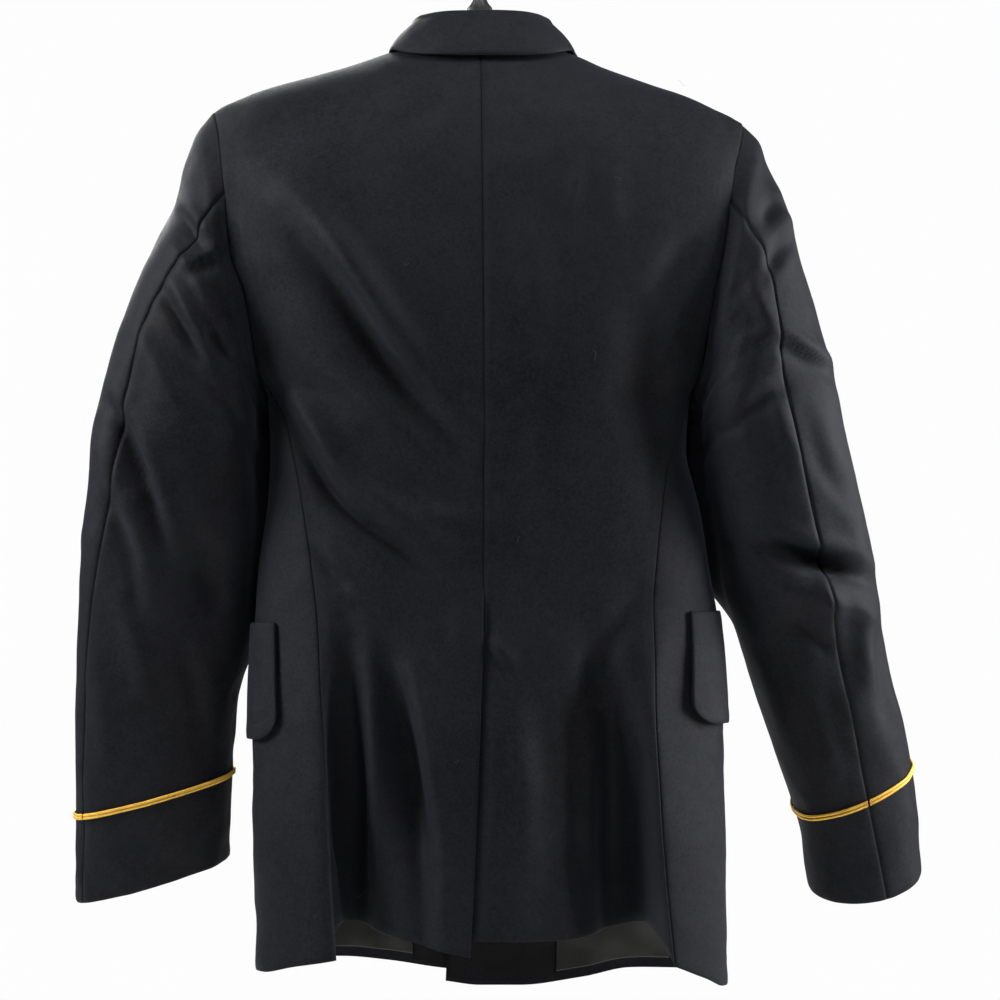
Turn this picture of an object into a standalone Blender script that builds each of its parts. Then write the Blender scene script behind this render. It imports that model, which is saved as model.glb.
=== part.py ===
"""A single-breasted dress uniform jacket that hangs on a plain moulded hanger.

Metres, +Z up. The origin is the inside top of the hanger's hook. The front faces -Y and the wearer's
left is +X. Every panel is cut from one body surface, so neighbours meet edge to edge.
"""

import math
from collections import namedtuple

import bmesh
import bpy
import numpy as np

CLOTH = 0.0020
FACING_CLOTH = 0.0014
LINING_CLOTH = 0.0012
SEAM_GAP = 0.0003
EDGE_GAP = 0.0003
LAYER_GAP = 0.0006
LAPEL_GAP = 0.0010
LINING_GAP = 0.0015

LEFT = 1
RIGHT = -1
SIDE_NAMES = {LEFT: "left", RIGHT: "right"}

# The shoulder tips, the foot of the armholes and the height at which the side seams run into them.
TIP_HEIGHT = {LEFT: -0.1640, RIGHT: -0.1748}
ARMHOLE_FOOT = -0.4000
SIDE_SEAM_TOP = -0.3850
SHOULDER_LINE_Y = -0.0060
SHOULDER_ROUNDING = 0.0850
NECK_HALF_WIDTH = 0.0740
NECK_DROP_AT_BACK = -0.1220

# Half widths of the torso below the armholes, from the centre-back seam.
TorsoWidth = namedtuple("TorsoWidth", "height left right")
TORSO_WIDTHS = [
    TorsoWidth(-0.400, 0.1780, 0.1745),
    TorsoWidth(-0.420, 0.1777, 0.1718),
    TorsoWidth(-0.445, 0.1766, 0.1705),
    TorsoWidth(-0.470, 0.1774, 0.1745),
    TorsoWidth(-0.495, 0.1799, 0.1805),
    TorsoWidth(-0.520, 0.1830, 0.1850),
    TorsoWidth(-0.553, 0.1862, 0.1900),
    TorsoWidth(-0.590, 0.1880, 0.1950),
    TorsoWidth(-0.640, 0.1890, 0.1985),
    TorsoWidth(-0.752, 0.1885, 0.2010),
    TorsoWidth(-0.885, 0.1866, 0.2015),
]

# How far the armhole's back edge lies from the centre back, down from the shoulder tip.
ArmholeEdge = namedtuple("ArmholeEdge", "height left right")
ARMHOLE_EDGES = [
    ArmholeEdge(-0.164, 0.2232, 0.2185),
    ArmholeEdge(-0.190, 0.2163, 0.2140),
    ArmholeEdge(-0.218, 0.2118, 0.2065),
    ArmholeEdge(-0.245, 0.2082, 0.2020),
    ArmholeEdge(-0.270, 0.2062, 0.1990),
    ArmholeEdge(-0.293, 0.2035, 0.1950),
    ArmholeEdge(-0.315, 0.1950, 0.1905),
    ArmholeEdge(-0.345, 0.1892, 0.1858),
    ArmholeEdge(-0.372, 0.1850, 0.1825),
    ArmholeEdge(-0.400, 0.1780, 0.1745),
]
# Share of the body's depth that the armhole takes, and how quickly it opens from its two ends.
ARMHOLE_BACK_SHARE = 0.69
ARMHOLE_FRONT_SHARE = 0.64
ARMHOLE_ROUNDNESS = 0.8

# Where the back and the front stand, and how square the body's corners are (2 is an ellipse).
Depth = namedtuple("Depth", "height back front squareness")
DEPTHS = [
    Depth(-0.100, 0.0500, -0.0500, 2.5),
    Depth(-0.170, 0.0640, -0.0660, 2.5),
    Depth(-0.240, 0.0730, -0.0780, 2.6),
    Depth(-0.300, 0.0750, -0.0860, 2.6),
    Depth(-0.360, 0.0720, -0.0900, 2.6),
    Depth(-0.420, 0.0650, -0.0900, 2.6),
    Depth(-0.500, 0.0570, -0.0840, 2.7),
    Depth(-0.580, 0.0550, -0.0830, 2.8),
    Depth(-0.680, 0.0580, -0.0850, 2.9),
    Depth(-0.780, 0.0590, -0.0870, 3.0),
    Depth(-0.885, 0.0590, -0.0880, 3.0),
]

# Height of the shoulder's crest, out from the neck.
Crest = namedtuple("Crest", "x left right")
CRESTS = [
    Crest(0.000, -0.0980, -0.0980),
    Crest(0.040, -0.1060, -0.1060),
    Crest(0.074, -0.1160, -0.1170),
    Crest(0.100, -0.1245, -0.1280),
    Crest(0.140, -0.1350, -0.1415),
    Crest(0.180, -0.1458, -0.1555),
    Crest(0.205, -0.1550, -0.1680),
    Crest(0.2167, -0.1604, -0.1748),
    Crest(0.2232, -0.1640, -0.1780),
]

# The side-back seams, out from the centre back, and the hidden side-front seams.
SideSeam = namedtuple("SideSeam", "height left right")
BACK_SIDE_SEAMS = [
    SideSeam(-0.385, 0.1790, 0.1780),
    SideSeam(-0.400, 0.1712, 0.1715),
    SideSeam(-0.420, 0.1633, 0.1660),
    SideSeam(-0.440, 0.1569, 0.1610),
    SideSeam(-0.465, 0.1503, 0.1530),
    SideSeam(-0.500, 0.1445, 0.1470),
    SideSeam(-0.540, 0.1385, 0.1420),
    SideSeam(-0.585, 0.1328, 0.1390),
    SideSeam(-0.650, 0.1280, 0.1390),
    SideSeam(-0.730, 0.1222, 0.1420),
    SideSeam(-0.800, 0.1187, 0.1470),
    SideSeam(-0.865, 0.1148, 0.1537),
]
FRONT_SIDE_SEAMS = [
    SideSeam(-0.385, 0.1690, 0.1660),
    SideSeam(-0.500, 0.1560, 0.1580),
    SideSeam(-0.640, 0.1560, 0.1640),
    SideSeam(-0.885, 0.1540, 0.1660),
]

# The centre-back seam, the lap edge of the vent below it, and the two front edges, as world x.
VENT_TOP = -0.6000
VENT_STEP = 0.0034
# Columns of the right back panel at the vent, from the centre-back seam: with the vent open and above it.
VENT_COLUMNS_OPEN = [0.0380, 0.0190, 0.0010, -0.0120]
VENT_COLUMNS_CLOSED = [0.0, -0.0020, -0.0040, -0.0140]
CentreLine = namedtuple("CentreLine", "height x")
CENTRE_BACK = [
    CentreLine(-0.120, 0.0003),
    CentreLine(-0.380, -0.0022),
    CentreLine(-0.600, -0.0013),
    CentreLine(-0.650, 0.0003),
    CentreLine(-0.720, 0.0028),
    CentreLine(-0.780, 0.0052),
    CentreLine(-0.860, 0.0092),
]
BREAK_HEIGHT = -0.3800
FrontEdge = namedtuple("FrontEdge", "height left right")
FRONT_EDGES = [
    FrontEdge(-0.105, 0.0770, -0.0770),
    FrontEdge(-0.116, 0.0738, -0.0738),
    FrontEdge(-0.150, 0.0650, -0.0650),
    FrontEdge(-0.220, 0.0420, -0.0420),
    FrontEdge(-0.300, 0.0120, -0.0120),
    FrontEdge(-0.380, -0.0185, 0.0180),
    FrontEdge(-0.460, -0.0200, 0.0190),
    FrontEdge(-0.640, -0.0220, 0.0220),
    FrontEdge(-0.900, -0.0275, 0.0318),
]
# The wearer's right front passes this far below the left one, and comes up again between two shares
# of its width. Above the closure the step fades out between two heights.
LAP_STEP = 0.0070
LAP_STEP_SHARES = (0.33, 0.48)
LAP_STEP_HEIGHTS = (-0.320, -0.250)

# Hem heights, by share of each panel's width out from the centre.
Hem = namedtuple("Hem", "share left right")
BACK_HEMS = [
    Hem(0.00, -0.8586, -0.8457),
    Hem(0.25, -0.8535, -0.8465),
    Hem(0.50, -0.8465, -0.8455),
    Hem(0.75, -0.8405, -0.8390),
    Hem(0.93, -0.8330, -0.8340),
    Hem(1.00, -0.8608, -0.8668),
]
SIDE_HEMS = [
    Hem(0.00, -0.8608, -0.8668),
    Hem(0.10, -0.8665, -0.8765),
    Hem(0.28, -0.8745, -0.8870),
    Hem(0.50, -0.8750, -0.8880),
    Hem(1.00, -0.8750, -0.8845),
]
FRONT_HEMS = [
    Hem(0.00, -0.8915, -0.8975),
    Hem(0.15, -0.8905, -0.9010),
    Hem(0.35, -0.8870, -0.9010),
    Hem(0.60, -0.8800, -0.8945),
    Hem(0.80, -0.8760, -0.8860),
    Hem(1.00, -0.8750, -0.8845),
]

# Skirt valleys just inside the side-back seams, where the back panel sinks behind the side panel.
Valley = namedtuple("Valley", "side top flank width depth")
VALLEYS = [
    Valley(LEFT, -0.585, 0.011, 0.036, 0.046),
    Valley(RIGHT, -0.600, 0.014, 0.050, 0.044),
]
# The side panels flare into a ridge along the same seams.
RIDGE_TOP = -0.520
RIDGE_WIDTH = 0.040
RIDGE_HEIGHT = {LEFT: 0.013, RIGHT: 0.010}

# Soft folds across the back, from end to end, in the back's own plane. A ridge has a positive height.
Fold = namedtuple("Fold", "start_x start_z end_x end_z width height")
BACK_FOLDS = [
    Fold(0.164, -0.225, 0.030, -0.400, 0.022, 0.0040),
    Fold(0.160, -0.275, 0.004, -0.462, 0.022, -0.0060),
    Fold(0.120, -0.375, -0.002, -0.462, 0.020, 0.0040),
    Fold(0.160, -0.405, 0.030, -0.565, 0.012, -0.0035),
    Fold(0.094, -0.590, 0.036, -0.810, 0.018, -0.0090),
    Fold(0.100, -0.600, 0.082, -0.860, 0.016, 0.0060),
    Fold(-0.022, -0.620, -0.052, -0.860, 0.024, 0.0080),
    Fold(-0.108, -0.560, -0.030, -0.790, 0.026, -0.0050),
    Fold(-0.120, -0.290, -0.128, -0.500, 0.018, -0.0050),
    Fold(-0.062, -0.220, -0.054, -0.262, 0.010, 0.0020),
]

# The two-piece sleeves, by share of their length from the armhole to the cuff: outer and inner edge,
# where the ring's middle lies in depth, its half depth, how much lower its back point hangs, and the
# back seam's angle round from the outer edge.
SleeveRing = namedtuple(
    "SleeveRing",
    "run outer_x outer_z inner_x inner_z middle_y half_depth back_drop seam_angle",
)
SLEEVE_RINGS = {
    LEFT: [
        SleeveRing(0.000, 0.2232, -0.1640, 0.1790, -0.3995, -0.006, 0.060, 0.000, 68),
        SleeveRing(0.030, 0.2340, -0.1797, 0.1815, -0.4040, -0.005, 0.064, 0.000, 58),
        SleeveRing(0.070, 0.2456, -0.2046, 0.1830, -0.4090, -0.004, 0.067, 0.000, 53),
        SleeveRing(0.120, 0.2548, -0.2378, 0.1840, -0.4150, -0.003, 0.069, 0.000, 50),
        SleeveRing(0.170, 0.2709, -0.2707, 0.1850, -0.4220, -0.003, 0.070, 0.000, 50),
        SleeveRing(0.270, 0.2964, -0.3368, 0.1860, -0.4420, -0.004, 0.068, 0.000, 51),
        SleeveRing(0.370, 0.3177, -0.4031, 0.1866, -0.4698, -0.006, 0.062, 0.000, 56),
        SleeveRing(0.490, 0.3311, -0.4863, 0.1881, -0.5155, -0.012, 0.052, 0.001, 53),
        SleeveRing(0.565, 0.3359, -0.5364, 0.1906, -0.5448, -0.020, 0.046, 0.002, 45),
        SleeveRing(0.670, 0.3407, -0.6121, 0.1974, -0.6104, -0.034, 0.041, 0.004, 36),
        SleeveRing(0.797, 0.3446, -0.6975, 0.2094, -0.6780, -0.050, 0.036, 0.005, 35),
        SleeveRing(0.920, 0.3467, -0.7843, 0.2150, -0.7480, -0.066, 0.031, 0.006, 33),
        SleeveRing(1.000, 0.3481, -0.8276, 0.2176, -0.7907, -0.075, 0.027, 0.006, 32),
    ],
    RIGHT: [
        SleeveRing(0.000, 0.2167, -0.1748, 0.1755, -0.3995, -0.006, 0.060, 0.000, 67),
        SleeveRing(0.028, 0.2283, -0.1880, 0.1780, -0.4040, -0.005, 0.064, 0.000, 60),
        SleeveRing(0.055, 0.2350, -0.2046, 0.1795, -0.4090, -0.004, 0.067, 0.000, 56),
        SleeveRing(0.112, 0.2507, -0.2378, 0.1805, -0.4150, -0.003, 0.069, 0.000, 57),
        SleeveRing(0.165, 0.2590, -0.2710, 0.1815, -0.4210, -0.003, 0.070, 0.000, 66),
        SleeveRing(0.270, 0.2789, -0.3367, 0.1835, -0.4370, -0.004, 0.068, 0.000, 78),
        SleeveRing(0.376, 0.2961, -0.4030, 0.1850, -0.4560, -0.006, 0.064, 0.001, 79),
        SleeveRing(0.481, 0.3103, -0.4695, 0.1880, -0.4903, -0.012, 0.057, 0.002, 74),
        SleeveRing(0.588, 0.3275, -0.5363, 0.2027, -0.5573, -0.024, 0.051, 0.004, 75),
        SleeveRing(0.694, 0.3390, -0.6038, 0.2235, -0.6252, -0.040, 0.048, 0.008, 75),
        SleeveRing(0.804, 0.3571, -0.6724, 0.2482, -0.6941, -0.060, 0.047, 0.013, 78),
        SleeveRing(0.914, 0.3719, -0.7421, 0.2722, -0.7640, -0.080, 0.046, 0.018, 82),
        SleeveRing(1.000, 0.3794, -0.7972, 0.2792, -0.8119, -0.090, 0.045, 0.022, 72),
    ],
}
SLEEVE_FRONT_SEAM_ANGLE = 244
# The sleeve head follows the armhole's own outline and leaves it by this run.
SLEEVE_HEAD_RUN = 0.30
SLEEVE_RUNS = [0, 0.03, 0.07, 0.12, 0.18, 0.25, 0.33, 0.41, 0.49, 0.56, 0.63, 0.72, 0.82, 0.91, 1]
# Bends at the elbow: run, angle, reach along the run, reach in degrees, depth.
SleeveFold = namedtuple("SleeveFold", "side run angle run_reach angle_reach height")
SLEEVE_FOLDS = [
    SleeveFold(LEFT, 0.25, 100, 0.030, 45, -0.006),
    SleeveFold(LEFT, 0.43, 62, 0.130, 13, -0.006),
    SleeveFold(LEFT, 0.58, 120, 0.060, 16, -0.005),
    SleeveFold(RIGHT, 0.31, 85, 0.030, 50, -0.005),
    SleeveFold(RIGHT, 0.565, 80, 0.028, 50, -0.008),
    SleeveFold(RIGHT, 0.615, 85, 0.030, 45, 0.005),
]
BRAID_RUN = {LEFT: 0.868, RIGHT: 0.875}
BRAID_WIDTH = 0.0052
SLEEVE_LENGTH = 0.67
BRAID_HEIGHT = 0.0015
# The right cuff's braid climbs towards the outer edge and the left one's towards the inner edge.
BRAID_CLIMB = {LEFT: -0.005, RIGHT: 0.012}

# The collar from the centre back to its front end: neck seam, fold and fall edge. The seam and the
# fall edge lie on the body surface, at the front (1) or at the back (0), and so need no y.
CollarStation = namedtuple(
    "CollarStation",
    "seam_x seam_z seam_front fold_x fold_y fold_z edge_x edge_z edge_front lift",
)
COLLAR_STATIONS = [
    CollarStation(0.0000, -0.1220, 0, 0.0000, 0.0310, -0.0866, 0.0000, -0.1303, 0, 0.0052),
    CollarStation(0.0280, -0.1213, 0, 0.0240, 0.0285, -0.0866, 0.0310, -0.1298, 0, 0.0050),
    CollarStation(0.0520, -0.1186, 0, 0.0440, 0.0180, -0.0868, 0.0590, -0.1262, 0, 0.0045),
    CollarStation(0.0680, -0.1162, 0, 0.0540, 0.0030, -0.0880, 0.0738, -0.1200, 0, 0.0040),
    CollarStation(0.0735, -0.1175, 1, 0.0580, -0.0120, -0.0930, 0.0780, -0.1205, 1, 0.0038),
    CollarStation(0.0715, -0.1245, 1, 0.0610, -0.0300, -0.1070, 0.0850, -0.1310, 1, 0.0038),
    CollarStation(0.0680, -0.1380, 1, 0.0625, -0.0455, -0.1290, 0.0940, -0.1500, 1, 0.0038),
    CollarStation(0.0640, -0.1540, 1, 0.0605, -0.0585, -0.1515, 0.1030, -0.1690, 1, 0.0038),
]
COLLAR_SECTIONS_PER_SIDE = 10
COLLAR_FOLD_RADIUS = 0.0032
# How far the collar's fall bows out, by share of the way from its fold to its edge.
COLLAR_FALL_BOWS = [(1.0, 0.0), (0.66, 0.0012), (0.33, 0.0010)]

LapelEdge = namedtuple("LapelEdge", "height x")
LAPEL_EDGES = [
    LapelEdge(-0.380, -0.0100),
    LapelEdge(-0.350, 0.0260),
    LapelEdge(-0.310, 0.0560),
    LapelEdge(-0.260, 0.0840),
    LapelEdge(-0.215, 0.1060),
    LapelEdge(-0.188, 0.1160),
]
LAPEL_TOP_AT_ROLL = -0.1585
LAPEL_TOP_AT_TIP = -0.1880
# The lapel runs this far past the roll line, and stands off its front there and at its edge.
LAPEL_PAST_ROLL = 0.0015
LAPEL_ROLL_LIFT = 0.0012
LAPEL_UNDERLAP_LIFT = 0.0006

PocketFlap = namedtuple("PocketFlap", "top bottom rear_x_top rear_x_bottom front_x")
POCKET_FLAPS = {
    LEFT: PocketFlap(-0.5885, -0.6840, 0.1668, 0.1600, 0.110),
    RIGHT: PocketFlap(-0.5790, -0.6712, 0.1690, 0.1625, 0.115),
}
FLAP_CORNER = 0.020
FLAP_WIDTH = 0.165
# Columns and rows of each flap, close together where its lower corners turn.
FLAP_SHARES = [0, 0.03, 0.075, 0.13, 0.27, 0.42, 0.58, 0.73, 0.87, 0.925, 0.97, 1]
FLAP_ROWS = 4
FLAP_STANDOFF_TOP = 0.0014
FLAP_STANDOFF_BOTTOM = 0.0032

# Facings and linings inside the fronts, in shares of the front's width, from this panel row downwards.
FACING_SHARES = [0.012, 0.10, 0.20, 0.33, 0.477]
LINING_SHARES = [0.483, 0.60, 0.74, 0.87, 0.975]
FACING_TOP_ROW = 13
FACING_SHORTER = 0.003
LINING_SHORTER = 0.009

BUTTON_HEIGHTS = [-0.405, -0.490, -0.575, -0.660]
BUTTON_X = 0.0005
# A domed button from its shank up, as (radius, height).
BUTTON_PROFILE = [
    (0.0030, 0.0000),
    (0.0030, 0.0016),
    (0.0100, 0.0018),
    (0.0110, 0.0028),
    (0.0104, 0.0040),
    (0.0080, 0.0054),
    (0.0045, 0.0063),
    (0.0012, 0.0066),
]

HANGER_X = 0.002
HANGER_REACH = {LEFT: 0.192, RIGHT: 0.188}
HANGER_SEAT_GAP = 0.0008
HANGER_HALF_THICKNESS = 0.0055
HANGER_ARM_STATIONS = 21
HANGER_ARM_HALF_HEIGHT = {"middle": 0.0085, "end": 0.0050}
HANGER_NECK_DIP = 0.0040
# The hanger's neck from its arms up to the hook, with its half sizes in the plane and along Y.
NeckRow = namedtuple("NeckRow", "z wide deep")
HANGER_NECK = [
    NeckRow(-0.1120, 0.0120, 0.0050),
    NeckRow(-0.0850, 0.0112, 0.0050),
    NeckRow(-0.0778, 0.0106, 0.0050),
    NeckRow(-0.0745, 0.0082, 0.0048),
    NeckRow(-0.0718, 0.0066, 0.0045),
    NeckRow(-0.0680, 0.0052, 0.0040),
    NeckRow(-0.0620, 0.0042, 0.0036),
]
HOOK_INSIDE_RADIUS = 0.0230
HOOK_HALF_THICKNESS = 0.0036
HOOK_START_ANGLE = -38
HOOK_END_ANGLE = 205
# Length of the pull at both ends of the bend that joins the neck to the hook.
HOOK_BEND_PULL = 0.014

ARMHOLE_ROWS = 11
SKIRT_ROWS = 12
SIDE_COLUMNS = 7
# Columns of the back panels, as shares of the way from the centre to the side-back seam.
BACK_SHARES = {
    LEFT: [0, 0.10, 0.21, 0.32, 0.44, 0.56, 0.68, 0.78, 0.86, 0.915, 0.96, 1],
    RIGHT: [0, 0.15, 0.29, 0.43, 0.56, 0.68, 0.79, 0.88, 0.94, 1],
}
FRONT_SHARES = [0, 0.10, 0.20, 0.33, 0.48, 0.60, 0.74, 0.87, 1]
SEAM_INDEX_AT_BACK = 5
SEAM_INDEX_AT_FRONT = 8


def track(rows, key, value):
    """A smooth curve through one column of a table, level past both ends, that never overshoots a row."""
    ordered = sorted(rows, key=lambda row: getattr(row, key))
    at = np.array([getattr(row, key) for row in ordered], float)
    values = np.array([getattr(row, value) for row in ordered], float)
    widths = np.diff(at)
    slopes = np.diff(values) / widths
    tangents = np.zeros(len(at))
    tangents[0] = slopes[0]
    tangents[-1] = slopes[-1]
    for i in range(1, len(at) - 1):
        if slopes[i - 1] * slopes[i] > 0:
            tangents[i] = 2 / (1 / slopes[i - 1] + 1 / slopes[i])

    def read(position):
        position = np.clip(np.asarray(position, float), at[0], at[-1])
        i = np.clip(np.searchsorted(at, position) - 1, 0, len(widths) - 1)
        t = (position - at[i]) / widths[i]
        return (
            values[i] * (1 + 2 * t) * (1 - t) ** 2
            + tangents[i] * widths[i] * t * (1 - t) ** 2
            + values[i + 1] * t * t * (3 - 2 * t)
            - tangents[i + 1] * widths[i] * t * t * (1 - t)
        )

    return read


def both_sides(rows, key):
    return {side: track(rows, key, SIDE_NAMES[side]) for side in (LEFT, RIGHT)}


torso_width = both_sides(TORSO_WIDTHS, "height")
armhole_edge = both_sides(ARMHOLE_EDGES, "height")
crest_height = both_sides(CRESTS, "x")
back_side_seam_table = both_sides(BACK_SIDE_SEAMS, "height")
front_side_seam_table = both_sides(FRONT_SIDE_SEAMS, "height")
front_edge = both_sides(FRONT_EDGES, "height")
back_hem = both_sides(BACK_HEMS, "share")
side_hem = both_sides(SIDE_HEMS, "share")
front_hem = both_sides(FRONT_HEMS, "share")
back_depth = track(DEPTHS, "height", "back")
front_depth = track(DEPTHS, "height", "front")
squareness = track(DEPTHS, "height", "squareness")
centre_back = track(CENTRE_BACK, "height", "x")
lapel_edge = track(LAPEL_EDGES, "height", "x")


def ease(t):
    """0 to 1, level at both ends."""
    t = np.clip(t, 0, 1)
    return t * t * (3 - 2 * t)


def by_side(x, tables, position):
    return np.where(np.asarray(x) >= 0, tables[LEFT](position), tables[RIGHT](position))


def armhole_opening(side, z):
    """0 at both ends of the armhole and 1 half way down it."""
    share = (z - ARMHOLE_FOOT) / (TIP_HEIGHT[side] - ARMHOLE_FOOT)
    share = np.clip(share, 0, 1)
    return (2 * np.sqrt(share * (1 - share))) ** ARMHOLE_ROUNDNESS


def half_width(side, z):
    """Half width of the whole ring at a height. Above the underarm it is the ring that the armhole cuts."""
    power = squareness(z)
    cut = ARMHOLE_BACK_SHARE * armhole_opening(side, z)
    upper = armhole_edge[side](z) / (1 - cut**power) ** (1 / power)
    return np.where(z < ARMHOLE_FOOT, torso_width[side](z), upper)


def angle_of_x(x, z, front):
    """Ring angle at a world x, on the back or on the front: 0 is the centre back, 180 the centre front."""
    side_x = np.abs(x)
    width = np.where(np.asarray(x) >= 0, half_width(LEFT, z), half_width(RIGHT, z))
    across = np.clip(side_x / width, 0, 1)
    power = squareness(z)
    along = (1 - across**power) ** (1 / power)
    angle = np.degrees(np.arctan2(across, -along if front else along))
    return np.where(np.asarray(x) >= 0, angle, -angle)


def armhole_angle(side, z, front):
    share = ARMHOLE_FRONT_SHARE if front else ARMHOLE_BACK_SHARE
    along = share * armhole_opening(side, z)
    power = squareness(z)
    across = (1 - along**power) ** (1 / power)
    return side * np.degrees(np.arctan2(across, -along if front else along))


def armhole_floor(angle, z):
    """Height of the armhole's lower edge at a ring angle."""
    turn = np.radians(np.abs(angle))
    power = squareness(z)
    along = np.cos(turn) / (np.abs(np.sin(turn)) ** power + np.abs(np.cos(turn)) ** power) ** (1 / power)
    share = np.where(along > 0, ARMHOLE_BACK_SHARE, ARMHOLE_FRONT_SHARE)
    opening = np.clip(np.abs(along) / share, 0, 1) ** (1 / ARMHOLE_ROUNDNESS)
    rise = (1 - np.sqrt(1 - opening**2)) / 2
    side_tip = np.where(np.asarray(angle) >= 0, TIP_HEIGHT[LEFT], TIP_HEIGHT[RIGHT])
    return ARMHOLE_FOOT + rise * (side_tip - ARMHOLE_FOOT)


def armhole_x(side, z, front):
    angle = np.radians(armhole_angle(side, z, front))
    power = squareness(z)
    reach = (np.abs(np.sin(angle)) ** power + np.abs(np.cos(angle)) ** power) ** (-1 / power)
    return half_width(side, z) * reach * np.abs(np.sin(angle))


def side_seam_x(side, z, front):
    """The side seam's x out from the centre, drawn up into the armhole's edge at its top."""
    table = front_side_seam_table if front else back_side_seam_table
    miss = armhole_x(side, SIDE_SEAM_TOP, front) - table[side](SIDE_SEAM_TOP)
    return table[side](z) + miss * (1 - ease((SIDE_SEAM_TOP - z) / 0.04))


def fold_height(x, z):
    """Folds of the back, as a height along the body's normal."""
    total = np.zeros(np.broadcast(x, z).shape)
    for fold in BACK_FOLDS:
        run_x = fold.end_x - fold.start_x
        run_z = fold.end_z - fold.start_z
        length = math.hypot(run_x, run_z)
        along = ((x - fold.start_x) * run_x + (z - fold.start_z) * run_z) / length**2
        across = ((x - fold.start_x) * run_z - (z - fold.start_z) * run_x) / length
        swell = np.sin(np.pi * np.clip(along, 0, 1)) ** 2
        total = total + fold.height * swell * np.exp(-((across / fold.width) ** 2))
    for side in (LEFT, RIGHT):
        out = side * x
        seam = side_seam_x(side, z, False)
        grow = ease((RIDGE_TOP - z) / 0.22)
        ridge = RIDGE_HEIGHT[side] * grow * np.exp(-(((out - seam) / RIDGE_WIDTH) ** 2))
        total = total + np.where(out > 0, ridge, 0)
    for valley in VALLEYS:
        inward = side_seam_x(valley.side, z, False) - valley.side * x
        grow = ease((valley.top - z) / (valley.top + 0.80))
        drop = valley.depth * grow * ease(inward / valley.flank)
        drop = drop * np.exp(-((np.maximum(inward - valley.flank, 0) / valley.width) ** 2))
        total = total - np.where((inward > 0) & (valley.side * x > 0), drop, 0)
    return total


def body(angle, z):
    """A point of the body surface, by ring angle in degrees (positive to the wearer's left) and height."""
    angle = np.asarray(angle, float)
    z = np.asarray(z, float)
    turn = np.radians(angle)
    across = np.sin(turn)
    along = np.cos(turn)
    power = squareness(z)
    reach = (np.abs(across) ** power + np.abs(along) ** power) ** (-1 / power)
    width = np.where(across >= 0, half_width(LEFT, z), half_width(RIGHT, z))
    depth = np.where(along >= 0, back_depth(z) - SHOULDER_LINE_Y, SHOULDER_LINE_Y - front_depth(z))
    x = width * reach * across
    y = depth * reach * along
    step = np.where(along > 0, fold_height(x, z), 0)
    # The ring's outward direction, close enough to its true normal for folds a few centimetres high.
    lean = np.abs(across) ** 3
    x = x + step * lean * np.sign(across)
    y = y + step * (1 - lean)
    below = by_side(x, crest_height, np.abs(x)) - z
    round_share = np.sqrt(np.clip(1 - (1 - np.clip(below / SHOULDER_ROUNDING, 0, 1)) ** 2, 0, 1))
    return np.stack([x, SHOULDER_LINE_Y + y * round_share, z + 0 * x], axis=-1)


def unit(vectors):
    return vectors / np.maximum(np.linalg.norm(vectors, axis=-1, keepdims=True), 1e-12)


def body_normal(angle, z):
    """The surface's outward normal. On the shoulder's crest it stands square to the crest line."""
    angle = np.asarray(angle, float)
    z = np.asarray(z, float)
    point = body(angle, z)
    out = np.abs(point[..., 0])
    below = by_side(point[..., 0], crest_height, out) - z
    step = np.clip(below * 0.3, 0.00002, 0.0004)
    turn = 0.15
    across = body(angle + turn, z) - body(angle - turn, z)
    down = body(angle, z - step) - body(angle, z + np.minimum(step, np.maximum(below, 0)))
    normal = unit(np.cross(across, down))
    rise = by_side(point[..., 0], crest_height, out + 0.002) - by_side(point[..., 0], crest_height, out - 0.002)
    crest = np.stack([-np.sign(point[..., 0]) * rise / 0.004, 0 * out, 1 + 0 * out], axis=-1)
    share = ease((below - 0.0004) / 0.0030)[..., None]
    return unit(unit(crest) * (1 - share) + normal * share)


def finish(mesh, name, material):
    """Turns a closed bmesh into a smooth object with its faces pointing out."""
    bmesh.ops.recalc_face_normals(mesh, faces=mesh.faces)
    data = bpy.data.meshes.new(name)
    mesh.to_mesh(data)
    mesh.free()
    data.materials.append(material)
    data.shade_smooth()
    data.set_sharp_from_angle(angle=math.radians(50))
    piece = bpy.data.objects.new(name, data)
    bpy.context.scene.collection.objects.link(piece)
    return piece


def wall(name, outer, inner, material):
    """A closed wall between two grids of points of the same shape."""
    mesh = bmesh.new()
    rows, columns = outer.shape[:2]
    front = [[mesh.verts.new(outer[i, j]) for j in range(columns)] for i in range(rows)]
    back = [[mesh.verts.new(inner[i, j]) for j in range(columns)] for i in range(rows)]
    for i in range(rows - 1):
        for j in range(columns - 1):
            mesh.faces.new((front[i][j], front[i][j + 1], front[i + 1][j + 1], front[i + 1][j]))
            mesh.faces.new((back[i][j], back[i + 1][j], back[i + 1][j + 1], back[i][j + 1]))
    border = [(0, j) for j in range(columns)]
    border += [(i, columns - 1) for i in range(1, rows)]
    border += [(rows - 1, j) for j in range(columns - 2, -1, -1)]
    border += [(i, 0) for i in range(rows - 2, 0, -1)]
    for here, there in zip(border, border[1:] + border[:1]):
        mesh.faces.new(
            (front[here[0]][here[1]], back[here[0]][here[1]], back[there[0]][there[1]], front[there[0]][there[1]])
        )
    return finish(mesh, name, material)


def material(name, colour, roughness, metallic=0.0):
    made = bpy.data.materials.new(name)
    made.use_nodes = True
    shader = made.node_tree.nodes["Principled BSDF"]
    shader.inputs["Base Color"].default_value = (*colour, 1.0)
    shader.inputs["Roughness"].default_value = roughness
    shader.inputs["Metallic"].default_value = metallic
    return made


def pull_in(points, gap):
    """Moves a grid's first and last columns inwards, which leaves a gap to the neighbouring panel."""
    moved = points.copy()
    moved[:, 0] += unit(points[:, 1] - points[:, 0]) * gap
    moved[:, -1] += unit(points[:, -2] - points[:, -1]) * gap
    return moved


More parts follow.
